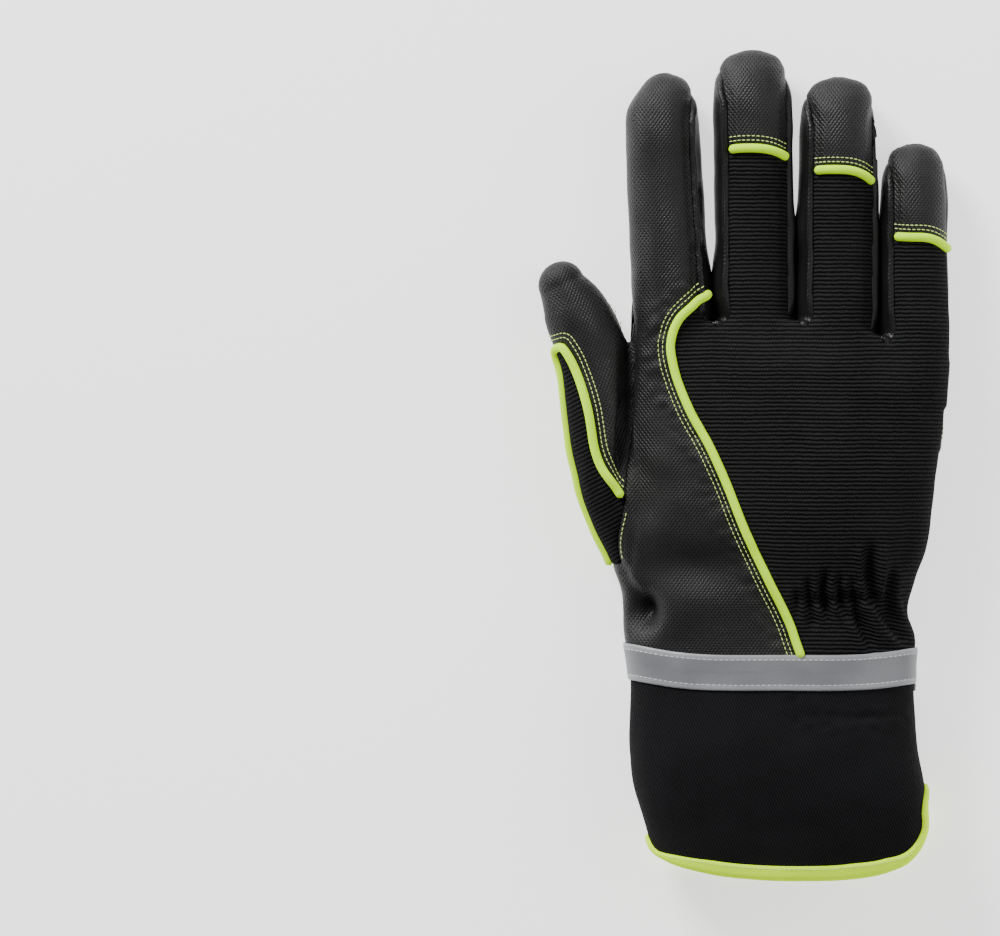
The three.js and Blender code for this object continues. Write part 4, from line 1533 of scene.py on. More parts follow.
@dataclass(frozen=True)
class RibbedKnit(Finish):
    """Stretch polyester knit with cross ribs: rows of short loops, dull, with painted shade dark
    between the rows.
    """

    rib: float = 1.34
    loop: float = 0.95
    angle: float = 90.0
    side_from: float = 3.0
    wobble: tuple[float, float] = (0.5, 0.45)
    rib_sharpness: float = 1.5
    loop_sharpness: float = 0.7
    loop_depth: float = 0.4
    fuzz: tuple[float, float, float, float] = (3000, 2, 1.3, 0.35)

    def height(self, weave: Weave) -> Socket:
        """Ribs, each a row of loops that are set half a loop over from row to row."""
        place = weave.cloth_place()
        count = weave.waver(weave.along(place, self.angle, self.rib), place, *self.wobble)
        shift = weave.math("MULTIPLY", weave.math("FLOOR", count), 0.5)
        loops = weave.math("ADD", weave.along(place, self.angle - 90, self.loop), shift)
        loops = weave.ridge(loops, self.loop_sharpness)
        loops = weave.math("MULTIPLY_ADD", loops, self.loop_depth, 1 - self.loop_depth)
        body = weave.math("MULTIPLY", weave.ridge(count, self.rib_sharpness), loops)
        return weave.fuzzed(body, *self.fuzz)


@dataclass(frozen=True)
class Twill(Finish):
    """Woven cloth with fine slanting lines of thread."""

    thread: float = 0.85
    angle: float = 24.0
    cross: float = 0.6
    thread_sharpness: float = 0.8
    cross_sharpness: float = 0.6
    cross_depth: float = 0.3
    fuzz: tuple[float, float, float, float] = (2600, 3, 0.9, 0.55)

    def height(self, weave: Weave) -> Socket:
        """Slanting lines, each broken by the threads that cross it."""
        place = weave.cloth_place()
        lines = weave.ridge(weave.along(place, self.angle, self.thread), self.thread_sharpness)
        crossing = weave.ridge(weave.along(place, 90, self.cross), self.cross_sharpness)
        crossing = weave.math("MULTIPLY_ADD", crossing, self.cross_depth, 1 - self.cross_depth)
        return weave.fuzzed(weave.math("MULTIPLY", lines, crossing), *self.fuzz)


# Coated split leather, embossed: near black, a soft gloss on the turns, a fine lattice in it with
# painted shade in its grooves
LEATHER = CoatedLeather("embossed_coated_leather", "#000000", "#1e1e1e", 0.46, specular=0.22,
                        relief=0.15, variation=0.12)
# The same leather, a little duller where it is doubled on the palm
PATCH_LEATHER = CoatedLeather("embossed_patch_leather", "#010101", "#212121", 0.48, specular=0.22,
                              relief=0.16, variation=0.12, across=1.15, angle=40)
# Plain leather of the side strips: black, smoother, with a narrow gloss along its welts
STRIP_LEATHER = CoatedLeather("plain_strip_leather", "#000000", "#151515", 0.4, specular=0.25,
                              relief=0.07, variation=0.15, across=0.8)
# Ribbed polyester knit: rows of dull loops, with painted shade near black between them
KNIT = RibbedKnit("ribbed_stretch_knit", "#000000", "#2b2b2c", 0.9, specular=0.06, relief=0.4,
                  variation=0.08)
# The same knit cut on the slant for the thumb
THUMB_KNIT = RibbedKnit("ribbed_stretch_knit_thumb", "#000000", "#222223", 0.9, specular=0.06,
                        relief=0.35, variation=0.08, angle=118)
# Woven polyester: almost black, with fine slanting lines
CUFF_TWILL = Twill("woven_cuff_twill", "#000000", "#1c1c1e", 0.9, specular=0.08, relief=0.12,
                   variation=0.12)
# Cloth coated with glass beads: a flat even grey with a faint silver gloss
TAPE_CLOTH = Finish("reflective_bead_cloth", "#66686c", "#787a7d", 0.45, specular=0.5,
                    metallic=0.1, relief=0.04, variation=0.2)
TAPE_BORDER = Finish("reflective_bead_border", "#828487", "#929497", 0.45, specular=0.5,
                     metallic=0.1, relief=0.04, variation=0.2)
# Fluorescent woven cloth: greenish yellow with a painted glow, giving off light of its own though it
# is no lamp
PIPING_CORD = Twill("fluorescent_piping_cloth", "#a2d600", "#c4f600", 0.8, specular=0.04, relief=0.06,
                    variation=0.15, painted_glow=0.4, thread=0.5, angle=70, cross=0.5)
BINDING_CLOTH = Twill("fluorescent_binding_cloth", "#a8d600", "#ccf400", 0.85, specular=0.04,
                      relief=0.08, variation=0.18, painted_glow=0.4, thread=0.7, angle=60, cross=0.6)
# Brushed knit lining: dull and soft, seen only inside the mouth
LINING = RibbedKnit("brushed_lining_knit", "#060607", "#18191b", 0.95, specular=0.1, sheen=0.1,
                    relief=0.2, rib=1.6, loop=1.2)
# Spun polyester thread: small bright ridges with a slight gloss; the lime thread also has a faint
# painted glow
THREADS = {
    Thread.LIME: Finish("lime_thread", "#a8c455", "#dcec98", 0.6, specular=0.3, relief=0.05, painted_glow=0.2),
    Thread.PALE: Finish("pale_thread", "#b4b6ba", "#dcdde0", 0.6, relief=0.05),
}


class Wardrobe:
    """Makes each finish once and hands it out."""

    def __init__(self) -> None:
        """Starts with nothing made."""
        self.made: dict[str, bpy.types.Material] = {}

    def get(self, finish: Finish) -> bpy.types.Material:
        """The material of a finish."""
        if finish.name not in self.made:
            self.made[finish.name] = finish.build()
        return self.made[finish.name]


WARDROBE = Wardrobe()


# Pieces

# Share of a tube's radius that is left at its ends
END_SIZE = math.sqrt(0.02)
# Degrees that the thumb's pattern is turned in plan
THUMB_TURN = 15


def cloth_uv(places: Array, triangles: Array, turn: float, side_from: float,
             drawn: Array | float) -> Array:
    """Lays a piece's pattern on it: millimetres in plan, or up the sides where they are steep.

    Args:
        places: the vertices.
        triangles: the faces.
        turn: degrees that the pattern is turned in plan.
        side_from: how much rise over run makes a face a side.
        drawn: how far folds draw the pattern along the glove at each vertex.

    Returns:
        Two coordinates for each corner of each face.
    """
    angle = math.radians(turn)
    across = places[:, 0] * math.cos(angle) + places[:, 1] * math.sin(angle)
    along = places[:, 1] * math.cos(angle) - places[:, 0] * math.sin(angle) + drawn
    local = np.column_stack([across, along, places[:, 2]])
    a, b, c = (local[triangles[:, corner]] for corner in range(3))
    steep = np.abs(np.cross(b - a, c - a))
    corners = local[triangles]
    flat = corners[..., :2]
    side = corners[..., (2, 1)]
    front = corners[..., (0, 2)]
    is_side = (steep[:, 0] > side_from * steep[:, 2]) & (steep[:, 0] >= steep[:, 1])
    is_front = (steep[:, 1] > side_from * steep[:, 2]) & ~is_side
    return np.where(is_side[:, None, None], side, np.where(is_front[:, None, None], front, flat))


def show(name: str, data: bpy.types.ID) -> bpy.types.Object:
    """Puts new data in the scene as an object."""
    made = bpy.data.objects.new(name, data)
    bpy.context.scene.collection.objects.link(made)
    return made


def make_object(name: str, node: str, slot: str, places: Array, triangles: Array,
                *finishes: Finish, second: Array | None = None, turn: float = 0.0,
                drawn: Array | float = 0.0) -> bpy.types.Object:
    """Makes a piece of the glove from a mesh in millimetres.

    Args:
        name: name of the piece.
        node: the node of the model that it replaces.
        slot: not used.
        places: the vertices.
        triangles: the faces.
        finishes: its finish, and its second finish if it has one.
        second: which faces have the second finish.
        turn: degrees that the pattern is turned in plan.
        drawn: how far folds draw the pattern along the glove at each vertex.

    Returns:
        The object.
    """
    mesh = bpy.data.meshes.new(name)
    mesh.from_pydata((places * MM).tolist(), [], triangles.tolist())
    uv = mesh.uv_layers.new(name="cloth")
    corners = cloth_uv(places, triangles, turn, finishes[0].side_from, drawn)
    uv.data.foreach_set("uv", corners.astype(np.float32).ravel())
    mesh.polygons.foreach_set("use_smooth", np.ones(len(triangles), bool))
    for finish in finishes:
        mesh.materials.append(WARDROBE.get(finish))
    if second is not None:
        mesh.polygons.foreach_set("material_index", second.astype(np.int32))
    made = show(name, mesh)
    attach(made, BODY)
    LOG.info("%s: %d faces", name, len(triangles))
    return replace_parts(made, node)


@dataclass
class Shell:
    """The sewn panels of the glove: leather, knit and cuff."""

    skin: Skin
    margin: float = 0.04
    turn_in: float = 0.9
    turn_width: float = 1.1
    draw: float = 0.35
    knit_turn_in: float = 0.7

    def panel(self, name: str, node: str, slot: str, finish: Finish, *limits: Array,
              turn: float = 0.0, depth: float | None = None) -> bpy.types.Object:
        """Cuts out a panel, turns its edges in and gives it its wall."""
        swatch = self.skin.swatch(*limits, margin=self.margin)
        depth = self.turn_in if depth is None else depth
        outer = -depth * np.exp(-swatch.edge / self.turn_width)
        inner = np.full(len(outer), -PLAN.wall)
        places, triangles = swatch.walled(outer, inner)
        number = np.arange(len(triangles)) // len(swatch.triangles)
        drawn = np.tile(swatch.rise, 2) * self.draw if isinstance(finish, RibbedKnit) else 0.0
        return make_object(name, node, slot, places, triangles, finish, LINING,
                           second=number == 1, turn=turn, drawn=drawn)

    def build(self) -> None:
        """Makes all panels."""
        skin = self.skin
        back = np.minimum(skin.back, skin.above_seam)
        saddle = np.minimum(skin.saddle, skin.below_thumb_seam)
        hand = -skin.cuff
        low = skin.plan[:, 1] - PLAN.palm_y(PLAN.thumb_low)
        thumb = np.minimum(skin.thumb, np.maximum(low, skin.below_thumb_seam))
        self.panel("leather_palm", "palm_leather", "leather_black", LEATHER, -back, hand,
                   -skin.any_strip, -thumb, -saddle)
        caps = np.max(list(skin.caps.values()), axis=0)
        self.panel("knit_back", "back_knit", "knit_black", KNIT, back, hand, -skin.any_strip,
                   -caps, depth=self.knit_turn_in)
        for name, cap in skin.caps.items():
            self.panel(f"tip_{name}", f"cap_{name}", "leather_black", LEATHER, back, cap,
                       -skin.any_strip)
        for index, strip in enumerate(skin.strips):
            pair = f"{FINGERS[index].name}_{FINGERS[index + 1].name}"
            self.panel(f"strip_{pair}", f"fourchette_{pair}", "leather_black", STRIP_LEATHER, strip)
        whole = np.maximum(skin.thumb, saddle)
        upper = np.minimum(-skin.below_thumb_seam, low)
        self.panel("leather_thumb_palm", "thumb_palm", "leather_black", LEATHER, whole,
                   skin.below_thumb_seam, hand, turn=THUMB_TURN)
        self.panel("leather_thumb_back", "thumb_back", "leather_black", LEATHER, skin.thumb, upper,
                   -skin.insert, turn=THUMB_TURN)
        self.panel("knit_thumb", "thumb_knit", "knit_black", THUMB_KNIT, skin.thumb, upper,
                   skin.insert, depth=self.knit_turn_in)
        self.panel("twill_cuff", "cuff", "cuff_twill", CUFF_TWILL, skin.cuff,
                   skin.hem - PLAN.binding_reach, depth=0.0)


@dataclass
class Patches:
    """The reinforcements sewn on the palm."""

    skin: Skin
    edge_width: float = 0.9
    edge_height: float = 0.5
    inner: float = 0.15
    row_inset: float = 2.2
    row_width: float = 1.1
    row_depth: float = 0.35
    heel_depth: float = 0.7
    divider_width: float = 1.5
    fill: float = 0.5

    def patch(self, key: str, name: str, node: str, trench: float, turn: float = 0.0,
              divider: bool = False) -> bpy.types.Object:
        """Cuts out a patch and lays it on the palm, pressed in along its stitches."""
        skin = self.skin
        swatch = skin.swatch(skin.patches[key], PLAN.patch_top[key] - skin.height)
        full = PLAN.gap + PLAN.patch
        outer = full - (full - self.edge_height) * np.exp(-swatch.edge / self.edge_width)
        outer -= trench * bell((swatch.edge - self.row_inset) / self.row_width)
        if divider:
            line = smooth_line(PLAN.on_hand(HEEL_DIVIDER))
            away = beside(swatch.places[:, :2], line)[0]
            outer -= trench * bell(away / self.divider_width)
        places, triangles = swatch.walled(outer, np.full(len(outer), self.inner))
        places[:, 2] = np.maximum(places[:, 2], 0)
        return make_object(name, node, "patch_leather", places, triangles, PATCH_LEATHER, turn=turn)

    def build(self) -> None:
        """Makes the three patches."""
        self.patch("upper", "patch_upper", "upper_patch", self.row_depth)
        self.patch("thumb", "patch_thumb", "thumb_patch", self.row_depth, turn=THUMB_TURN)
        heel = self.patch("heel", "pad_heel", "heel_patch", self.heel_depth, divider=True)


def tube(path: Array, up: Array, radius: float, facets: int = 14,
         step: float = 0.6) -> tuple[Array, Array]:
    """Makes a round tube along a path, rounded off at its ends.

    Args:
        path: the points of its middle line.
        up: the direction away from the glove at each point.
        radius: half its thickness.
        facets: how many sides it has.
        step: distance between its rings.

    Returns:
        Vertices and triangles, faces outwards.
    """
    run = run_along(path)
    count = int(run[-1] / step)
    at = np.linspace(0, run[-1], count)
    path = read_rows(at, run, path)
    ahead = unit(np.gradient(path, axis=0))
    side = unit(np.cross(ahead, read_rows(at, run, up)))
    up = np.cross(side, ahead)
    ends = np.minimum(at, run[-1] - at) / radius
    size = radius * np.maximum(quarter_round(ends), END_SIZE)
    angles = np.arange(facets) * 2 * math.pi / facets
    ring = np.cos(angles)[None, :, None] * side[:, None] + np.sin(angles)[None, :, None] * up[:, None]
    places = (path[:, None] + ring * size[:, None, None]).reshape(-1, 3)
    row, column = np.meshgrid(np.arange(count - 1), np.arange(facets), indexing="ij")
    a = (row * facets + column).ravel()
    b = (row * facets + (column + 1) % facets).ravel()
    around = np.arange(facets)
    last = (count - 1) * facets
    after = (around + 1) % facets
    triangles = np.vstack([
        np.column_stack([a, a + facets, b]),
        np.column_stack([b, a + facets, b + facets]),
        np.column_stack([np.full(facets, len(places)), around, after]),
        np.column_stack([np.full(facets, len(places) + 1), last + after, last + around]),
    ])
    places = np.vstack([places, path[:1], path[-1:]])
    return places, outward(places, triangles)


def quarter_round(share: Array) -> Array:
    """Rises like a quarter of a circle from 0, and stays at 1."""
    return np.sqrt(np.clip(1 - (1 - np.clip(share, 0, 1)) ** 2, 0, 1))


def outward(places: Array, triangles: Array) -> Array:
    """Turns a closed mesh the right way out."""
    a, b, c = (places[triangles[:, corner]] for corner in range(3))
    return triangles if (np.cross(a, b) * c).sum() > 0 else triangles[:, ::-1]


@dataclass
class Trim:
    """Piping, tape and binding."""

    skin: Skin
    bead_radius: float = 1.45
    bead_lift: float = 0.45
    border: float = 1.9
    seam_clear: float = 0.4
    tape_clear: float = 1.0
    tape_seam: float = 0.15
    tape_turn: float = 0.35
    tape_inner: float = 0.1
    lip_width: float = 0.5
    lip_least: float = 0.6
    band: tuple = ((-0.95, 1.4), (-0.86, 2.6), (-0.72, 4.2), (-0.5, 4.9), (0.5, 5.3), (0.7, 4.9),
                   (0.82, 4.0), (0.92, 3.0), (1.03, 2.0))
    band_tops: tuple[float, float] = (-115.5, -95.0)
    band_tongues: tuple[float, float] = (3.0, 8.0)
    band_round: float = 9.0
    band_blend: float = 0.5
    turn_step: float = 0.5
    turn_reach: float = 9.0
    turn_passes: int = 60
    turn_least: float = 0.25
    band_most: float = 1.2

    def lay(self, name: str, node: str, path: Array, up: Array) -> bpy.types.Object:
        """Makes a length of piping along a path on the skin."""
        places, triangles = tube(path + up * self.bead_lift, up, self.bead_radius)
        return make_object(name, node, "piping_yellow", places, triangles, PIPING_CORD)

    def longest(self, values: Array, *limits: Array) -> tuple[Array, Array]:
        """The longest line on the skin where a field is zero."""
        return max(self.skin.lines(values, *limits), key=lambda line: len(line[0]))

    def piping(self) -> None:
        """Makes the piping of back, fingertips and thumb."""
        skin = self.skin
        above = skin.above_seam - self.seam_clear
        values, between = skin.beside_seam(PLAN.main_seam)
        path = self.longest(values, above, between, self.tape_clear - skin.tape[0])
        self.lay("bead_back", "piping_back", *path)
        for name, seam in skin.cap_seams.items():
            values, between = skin.beside_seam(seam)
            path = self.longest(values, above, between, -skin.any_strip)
            self.lay(f"bead_{name}", f"piping_{name}", *path)
        self.thumb_piping()

    def thumb_piping(self) -> None:
        """Makes the thumb's two lengths of piping, which meet in one round turn at the apex."""
        skin = self.skin
        apex = PLAN.on_thumb(THUMB_PIPING[:1])[0]
        values, between = skin.beside_seam(smooth_line(PLAN.on_thumb(THUMB_PIPING)))
        inner = np.hstack(self.longest(values, between, -skin.below_thumb_seam, skin.thumb))
        low = skin.plan[:, 1] - PLAN.palm_y(PLAN.thumb_low) + self.bead_radius
        outer = np.hstack(self.longest(skin.below_thumb_seam, skin.insert, skin.thumb, low))
        sides = []
        for rows in (inner, outer):
            ends = np.linalg.norm(rows[[0, -1], :2] - apex, axis=1)
            sides.append(rows if ends[0] > ends[1] else rows[::-1])
        rows = np.vstack([sides[0], sides[1][::-1]])
        run = run_along(rows[:, :3])
        turn = run[len(sides[0])]
        at = np.arange(0, run[-1], self.turn_step)
        rows = read_rows(at, run, rows)
        near = np.maximum(bell((at - turn) / self.turn_reach), self.turn_least)[:, None]
        for _ in range(self.turn_passes):
            middle = (rows[:-2] + 2 * rows[1:-1] + rows[2:]) / 4
            rows[1:-1] += near[1:-1] * (middle - rows[1:-1])
        path, up = rows[:, :3], unit(rows[:, 3:])
        split = int(turn / self.turn_step)
        overlap = int(self.bead_radius / self.turn_step) + 1
        parts = {"inner": slice(None, split + overlap), "outer": slice(split - overlap, None)}
        for name, part in parts.items():
            self.lay(f"bead_thumb_{name}", f"piping_thumb_{name}", path[part], up[part])

    def tape(self) -> None:
        """Makes the reflective tape on the back and on the palm."""
        skin = self.skin
        back, palm = skin.tape
        for name, node, zone, side in (
            ("tape_upper", "tape_back", back, skin.above_seam - self.tape_seam),
            ("tape_lower", "tape_palm", palm, -skin.above_seam - self.tape_seam),
        ):
            swatch = skin.swatch(zone, side, whole=True).refined()
            full = PLAN.gap + PLAN.tape_thickness
            outer = full - self.tape_turn * np.exp(-swatch.edge / self.tape_turn)
            places, triangles = swatch.walled(outer, np.full(len(outer), self.tape_inner))
            places[:, 2] = np.maximum(places[:, 2], 0)
            edge = np.tile(swatch.edge, 2)[triangles].mean(1)
            make_object(name, node, "reflective_tape", places, triangles, TAPE_CLOTH, TAPE_BORDER,
                        second=edge < self.border)

    def binding(self) -> None:
        """Makes the binding, folded round the hem and the vent."""
        skin = self.skin
        swatch = skin.swatch(skin.hem, self.band_on_skin() - skin.hem, whole=True).refined()
        hem = inside(swatch.places[:, :2], PLAN.hem_outline)
        width = self.band_width(swatch.places, swatch.normals)
        half = PLAN.wall / 2 + PLAN.binding_reach
        lip = np.sqrt(np.clip((width - hem) / self.lip_width, 0, 1))
        lip = self.lip_least + (1 - self.lip_least) * lip
        out = half * quarter_round(hem / half) * lip
        places, triangles = swatch.walled(-PLAN.wall / 2 + out, -PLAN.wall / 2 - out)
        places[:, 2] = np.maximum(places[:, 2], 0)
        make_object("binding_hem", "hem_binding", "binding_yellow", places, triangles, BINDING_CLOTH)

    def band_on_skin(self) -> Array:
        """Width of the binding at each vertex of the skin."""
        places = np.column_stack([self.skin.plan, self.skin.height])
        return self.band_width(places, self.skin.normals)

    def band_width(self, places: Array, normals: Array) -> Array:
        """Width of the binding, which turns away from the eye at the cuff's sides."""
        across, width = np.array(self.band).T
        width = np.interp(places[:, 0] / (PLAN.cuff_width / 2), across, width)
        below = step_up(-normals[:, 2], -self.band_blend, self.band_blend)
        width += (PLAN.binding_width - width) * below
        side = np.minimum(((places[:, 2] - PLAN.seam_height) / self.band_round) ** 2, self.band_most)
        top = np.where(places[:, 0] < 0, *self.band_tops)
        top = top - np.where(places[:, 0] < 0, *self.band_tongues) * side
        return width * np.sqrt(np.clip((top - places[:, 1]) / PLAN.binding_width, 0, 1))

    def build(self) -> None:
        """Makes all trim."""
        self.piping()
        self.tape()
        self.binding()


@dataclass
class Stitching:
    """Rows of stitches, laid by one geometry node tree."""

    skin: Skin
    pitch: float = 1.6
    length: float = 1.28
    thickness: float = 0.34
    first_row: float = 2.6
    row_gap: float = 1.4
    lift: float = 0.05
    tip_pitch: float = 1.5
    tape_pitch: float = 1.8
    # How far rows end from side seams, tape, side strips, thumb seam and thumb edge
    seam_clear: float = 0.3
    tape_clear: float = 0.4
    strip_clear: float = 0.4
    thumb_clear: float = 1.0
    edge_clear: float = 0.6
    # Rows beside the thumb: distance from its edge, and between which shares of the palm
    edge_row: float = 1.3
    edge_rise: float = 0.01
    edge_to: float = 0.45
    thumb_row: float = 2.2
    # Rows of the tape and the binding: distance from their edges, and the least binding sewn
    tape_inset: float = 1.7
    band_inset: float = 0.9
    band_least: float = 3.5
    # Rows of the palm: sunk into the patches, ends beside them, half gap of double rows
    patch_sink: float = 0.25
    patch_clear: float = 0.5
    divider_clear: float = 0.6
    half_gap: float = 0.7
    saddle_rows: tuple[float, float] = (1.5, 2.9)

    @cached_property
    def tree(self) -> Tree:
        """A tree that sets stitches along the edges of a mesh, upright on its normals."""
        tree = bpy.data.node_groups.new("stitch_rows", "GeometryNodeTree")
        sockets = tree.interface
        sockets.new_socket("Geometry", in_out="INPUT", socket_type="NodeSocketGeometry")
        for name in ("Pitch", "Length", "Thickness"):
            sockets.new_socket(name, in_out="INPUT", socket_type="NodeSocketFloat")
        sockets.new_socket("Thread", in_out="INPUT", socket_type="NodeSocketMaterial")
        sockets.new_socket("Geometry", in_out="OUTPUT", socket_type="NodeSocketGeometry")
        given = add_node(tree, "NodeGroupInput").outputs
        curve = add_node(tree, "GeometryNodeMeshToCurve", {"Mesh": given["Geometry"]})
        spaced = add_node(tree, "GeometryNodeResampleCurve", {
            "Curve": curve.outputs["Curve"], "Length": given["Pitch"],
        }, mode="LENGTH")
        ball = add_node(tree, "GeometryNodeMeshUVSphere", {"Segments": 8, "Rings": 5, "Radius": 0.5})
        size = add_node(tree, "ShaderNodeCombineXYZ", {
            "X": given["Length"], "Y": given["Thickness"], "Z": given["Thickness"],
        })
        stitch = add_node(tree, "GeometryNodeTransform", {
            "Geometry": ball.outputs["Mesh"], "Scale": size.outputs["Vector"],
        })
        smooth = add_node(tree, "GeometryNodeSetShadeSmooth", {"Geometry": stitch.outputs["Geometry"]})
        up = add_node(tree, "GeometryNodeInputNamedAttribute", {"Name": "up"},
                      data_type="FLOAT_VECTOR")
        ahead = add_node(tree, "GeometryNodeInputTangent")
        turn = add_node(tree, "FunctionNodeAxesToRotation", {
            "Primary Axis": ahead.outputs["Tangent"], "Secondary Axis": up.outputs["Attribute"],
        }, primary_axis="X", secondary_axis="Z")
        laid = add_node(tree, "GeometryNodeInstanceOnPoints", {
            "Points": spaced.outputs["Curve"], "Instance": smooth.outputs["Geometry"],
            "Rotation": turn.outputs["Rotation"],
        })
        real = add_node(tree, "GeometryNodeRealizeInstances", {"Geometry": laid.outputs["Instances"]})
        dressed = add_node(tree, "GeometryNodeSetMaterial", {
            "Geometry": real.outputs["Geometry"], "Material": given["Thread"],
        })
        add_node(tree, "NodeGroupOutput", {"Geometry": dressed.outputs["Geometry"]})
        return tree

    def sew(self, name: str, rows: list[tuple[Array, Array]], thread: Thread,
            lift: float | None = None, pitch: float | None = None) -> None:
        """Sews rows of stitches.

        Args:
            name: name of the piece.
            rows: places and normals along each row.
            thread: the thread's colour.
            lift: how far the stitches stand off the skin.
            pitch: millimetres from stitch to stitch.
        """
        lift = self.lift if lift is None else lift
        points = np.vstack([path + up * lift for path, up in rows])
        points[:, 2] = np.maximum(points[:, 2], self.lift)
        counts = [len(path) for path, _ in rows]
        starts = np.cumsum([0, *counts[:-1]])
        edges = np.vstack([
            np.column_stack([np.arange(n - 1), np.arange(1, n)]) + start
            for n, start in zip(counts, starts)
        ])
        mesh = bpy.data.meshes.new(name)
        mesh.from_pydata((points * MM).tolist(), edges.tolist(), [])
        up = mesh.attributes.new("up", "FLOAT_VECTOR", "POINT")
        up.data.foreach_set("vector", np.vstack([row[1] for row in rows]).astype(np.float32).ravel())
        made = show(name, mesh)
        modifier = made.modifiers.new("rows", "NODES")
        modifier.node_group = self.tree
        sizes = {
            "Pitch": (pitch or self.pitch) * MM, "Length": self.length * MM,
            "Thickness": self.thickness * MM, "Thread": WARDROBE.get(THREADS[thread]),
        }
        for item in self.tree.interface.items_tree:
            if item.in_out == "INPUT" and item.name in sizes:
                modifier[item.identifier] = sizes[item.name]
        graph = bpy.context.evaluated_depsgraph_get()
        sewn = bpy.data.meshes.new_from_object(made.evaluated_get(graph))
        made.modifiers.clear()
        made.data = sewn
        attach(made, BODY)
        LOG.info("%s: %d faces", name, len(sewn.polygons))

    def back_rows(self) -> None:
        """Sews the rows of the back."""
        skin = self.skin
        above = skin.above_seam - self.seam_clear
        clear_tape = -skin.tape[0] - self.tape_clear
        levels = (self.first_row, self.first_row + self.row_gap)
        rows = []
        for level in levels:
            values, between = skin.beside_seam(PLAN.main_seam, -level)
            rows += skin.lines(values, between, above, clear_tape)
        self.sew("stitches_main_seam", rows, Thread.LIME)
        rows = []
        for seam in skin.cap_seams.values():
            for level in levels:
                values, between = skin.beside_seam(seam, level)
                rows += skin.lines(values, between, above, -skin.any_strip - self.strip_clear)
        self.sew("stitches_tips", rows, Thread.LIME, pitch=self.tip_pitch)
        upper = -skin.below_thumb_seam
        rows = [
            line for level in levels
            for line in skin.lines(skin.insert + level, upper - self.thumb_clear,
                                   skin.thumb - self.edge_clear)
        ]
        self.sew("stitches_thumb_insert", rows, Thread.LIME, pitch=self.tip_pitch)
        low, high = PLAN.palm_y(PLAN.thumb_low + self.edge_rise), PLAN.palm_y(self.edge_to)
        within = np.minimum(skin.plan[:, 1] - low, high - skin.plan[:, 1])
        rows = skin.lines(skin.thumb + self.edge_row, upper, within)
        self.sew("stitches_hand_edge", rows, Thread.LIME, pitch=self.tip_pitch)

    def tape_rows(self) -> None:
        """Sews the tape and the binding."""
        skin = self.skin
        back, palm = skin.tape
        lift = PLAN.gap + PLAN.tape_thickness
        rows = [
            line for zone, side in ((back, skin.above_seam), (palm, -skin.above_seam))
            for line in skin.lines(zone - self.tape_inset, side - self.seam_clear)
        ]
        self.sew("stitches_tape", rows, Thread.PALE, lift, self.tape_pitch)
        width = Trim(skin).band_on_skin()
        rows = skin.lines(skin.hem - width + self.band_inset, width - self.band_least)
        self.sew("stitches_binding", rows, Thread.LIME,
                 PLAN.binding_reach - self.lift)

    def palm_rows(self) -> None:
        """Sews the rows of the palm."""
        skin = self.skin
        lift = PLAN.gap + PLAN.patch - self.patch_sink
        insets = (PLAN.patch_hem, PLAN.patch_hem + self.row_gap)
        rows = [
            line for key, zone in skin.patches.items() for inset in insets
            for line in skin.lines(zone - inset, PLAN.patch_top[key] - self.patch_clear - skin.height)
        ]
        within = skin.patches["heel"] - insets[1] - self.divider_clear
        sides = (-self.half_gap, self.half_gap)
        rows += [
            line for side in sides
            for line in skin.lines(skin.divider + side, PLAN.patch_top["heel"] - skin.height, within)
        ]
        self.sew("stitches_patches", rows, Thread.LIME, lift)
        below = skin.below_thumb_seam - self.thumb_clear
        rows = [
            line for level in self.saddle_rows
            for line in skin.lines(skin.saddle - level, below, -skin.patches["heel"])
        ]
        for side in sides:
            values, between = skin.beside_seam(smooth_line(PLAN.on_hand(PALM_DART)), side)
            rows += skin.lines(values, between, below)
        self.sew("stitches_saddle", rows, Thread.LIME)
        rows = skin.lines(skin.below_thumb_seam - self.thumb_row, skin.insert, skin.thumb)
        self.sew("stitches_thumb_edge", rows, Thread.LIME)

    def build(self) -> None:
        """Sews everything."""
        self.back_rows()
        self.tape_rows()
        self.palm_rows()


# Studio

WHITE = (1, 1, 1, 1)
# Lights: name, place in metres, width in metres and watts
LIGHTS = (("key", (-0.8, 1.15, 0.66), 0.6, 42), ("fill", (0.95, 0.15, 0.7), 0.9, 8))


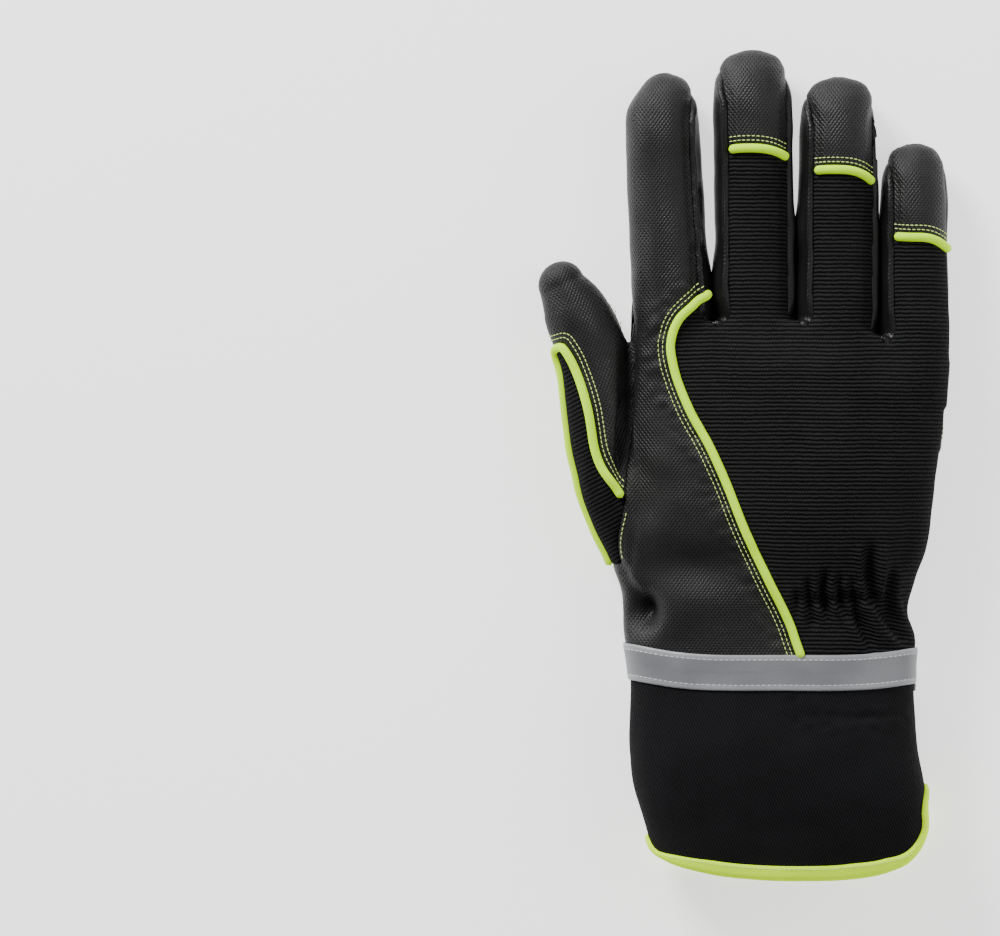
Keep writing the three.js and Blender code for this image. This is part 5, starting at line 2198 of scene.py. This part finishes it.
@dataclass
class Studio:
    """A pale table, soft light from both sides and the camera straight above the glove."""

    view_x: float = -92.4
    view_y: float = 4.0
    view_width: float = 330.0
    distance: float = 2000.0
    sensor: float = 36.0
    sight: float = 20.0
    world_light: float = 0.3
    table_half: float = 2.5
    table_level: float = -0.2
    table_spots: tuple[float, float] = (3.0, 2.0)
    table_tones: tuple[float, float] = (0.9, 0.94)
    table_roughness: float = 0.9
    table_glow: float = 1.3

    def floor(self) -> None:
        """Lays the pale floor."""
        mesh = bpy.data.meshes.new("floor")
        corners = ((-1, -1), (1, -1), (1, 1), (-1, 1))
        z = self.table_level * MM
        mesh.from_pydata([(x * self.table_half, y * self.table_half, z) for x, y in corners],
                         [], [(0, 1, 2, 3)])
        material, shader = new_material("pale_floor")
        weave = Weave(material.node_tree)
        tone = weave.spread(weave.noise(*self.table_spots), *self.table_tones, within=(0, 1))
        feed(shader, {
            "Base Color": tone, "Roughness": self.table_roughness, "Emission Color": WHITE,
            "Emission Strength": self.table_glow,
        })
        mesh.materials.append(material)
        show("floor", mesh)

    def light(self, name: str, place: tuple, size: float, power: float) -> None:
        """Hangs a square soft light that looks at the glove."""
        lamp = bpy.data.lights.new(name, "AREA")
        lamp.size = size
        lamp.energy = power
        made = show(name, lamp)
        made.location = place
        made.rotation_euler = (-Vector(place)).to_track_quat("-Z", "Y").to_euler()

    def camera(self) -> None:
        """Sets the camera with the photograph's framing."""
        made = show("camera", bpy.data.cameras.new("camera"))
        made.location = (self.view_x * MM, self.view_y * MM, self.distance * MM)
        made.data.sensor_width = self.sensor
        height = self.distance - PLAN.seam_height
        made.data.lens = self.sensor * height / self.view_width
        made.data.clip_end = self.sight
        bpy.context.scene.camera = made

    def build(self) -> None:
        """Sets up the studio."""
        world = bpy.data.worlds.new("studio")
        world.use_nodes = True
        feed(world.node_tree.nodes["Background"], {"Color": WHITE, "Strength": self.world_light})
        bpy.context.scene.world = world
        self.floor()
        for row in LIGHTS:
            self.light(*row)
        self.camera()


def main() -> None:
    """Builds the glove piece by piece and sets up the studio."""
    logging.basicConfig(level=logging.INFO, format="%(name)s: %(message)s")
    skin = Skin()
    LOG.info("skin: %d triangles", len(skin.triangles))
    Shell(skin).build()
    Patches(skin).build()
    Trim(skin).build()
    Stitching(skin).build()
    Studio().build()


if __name__ == "__main__":
    main()
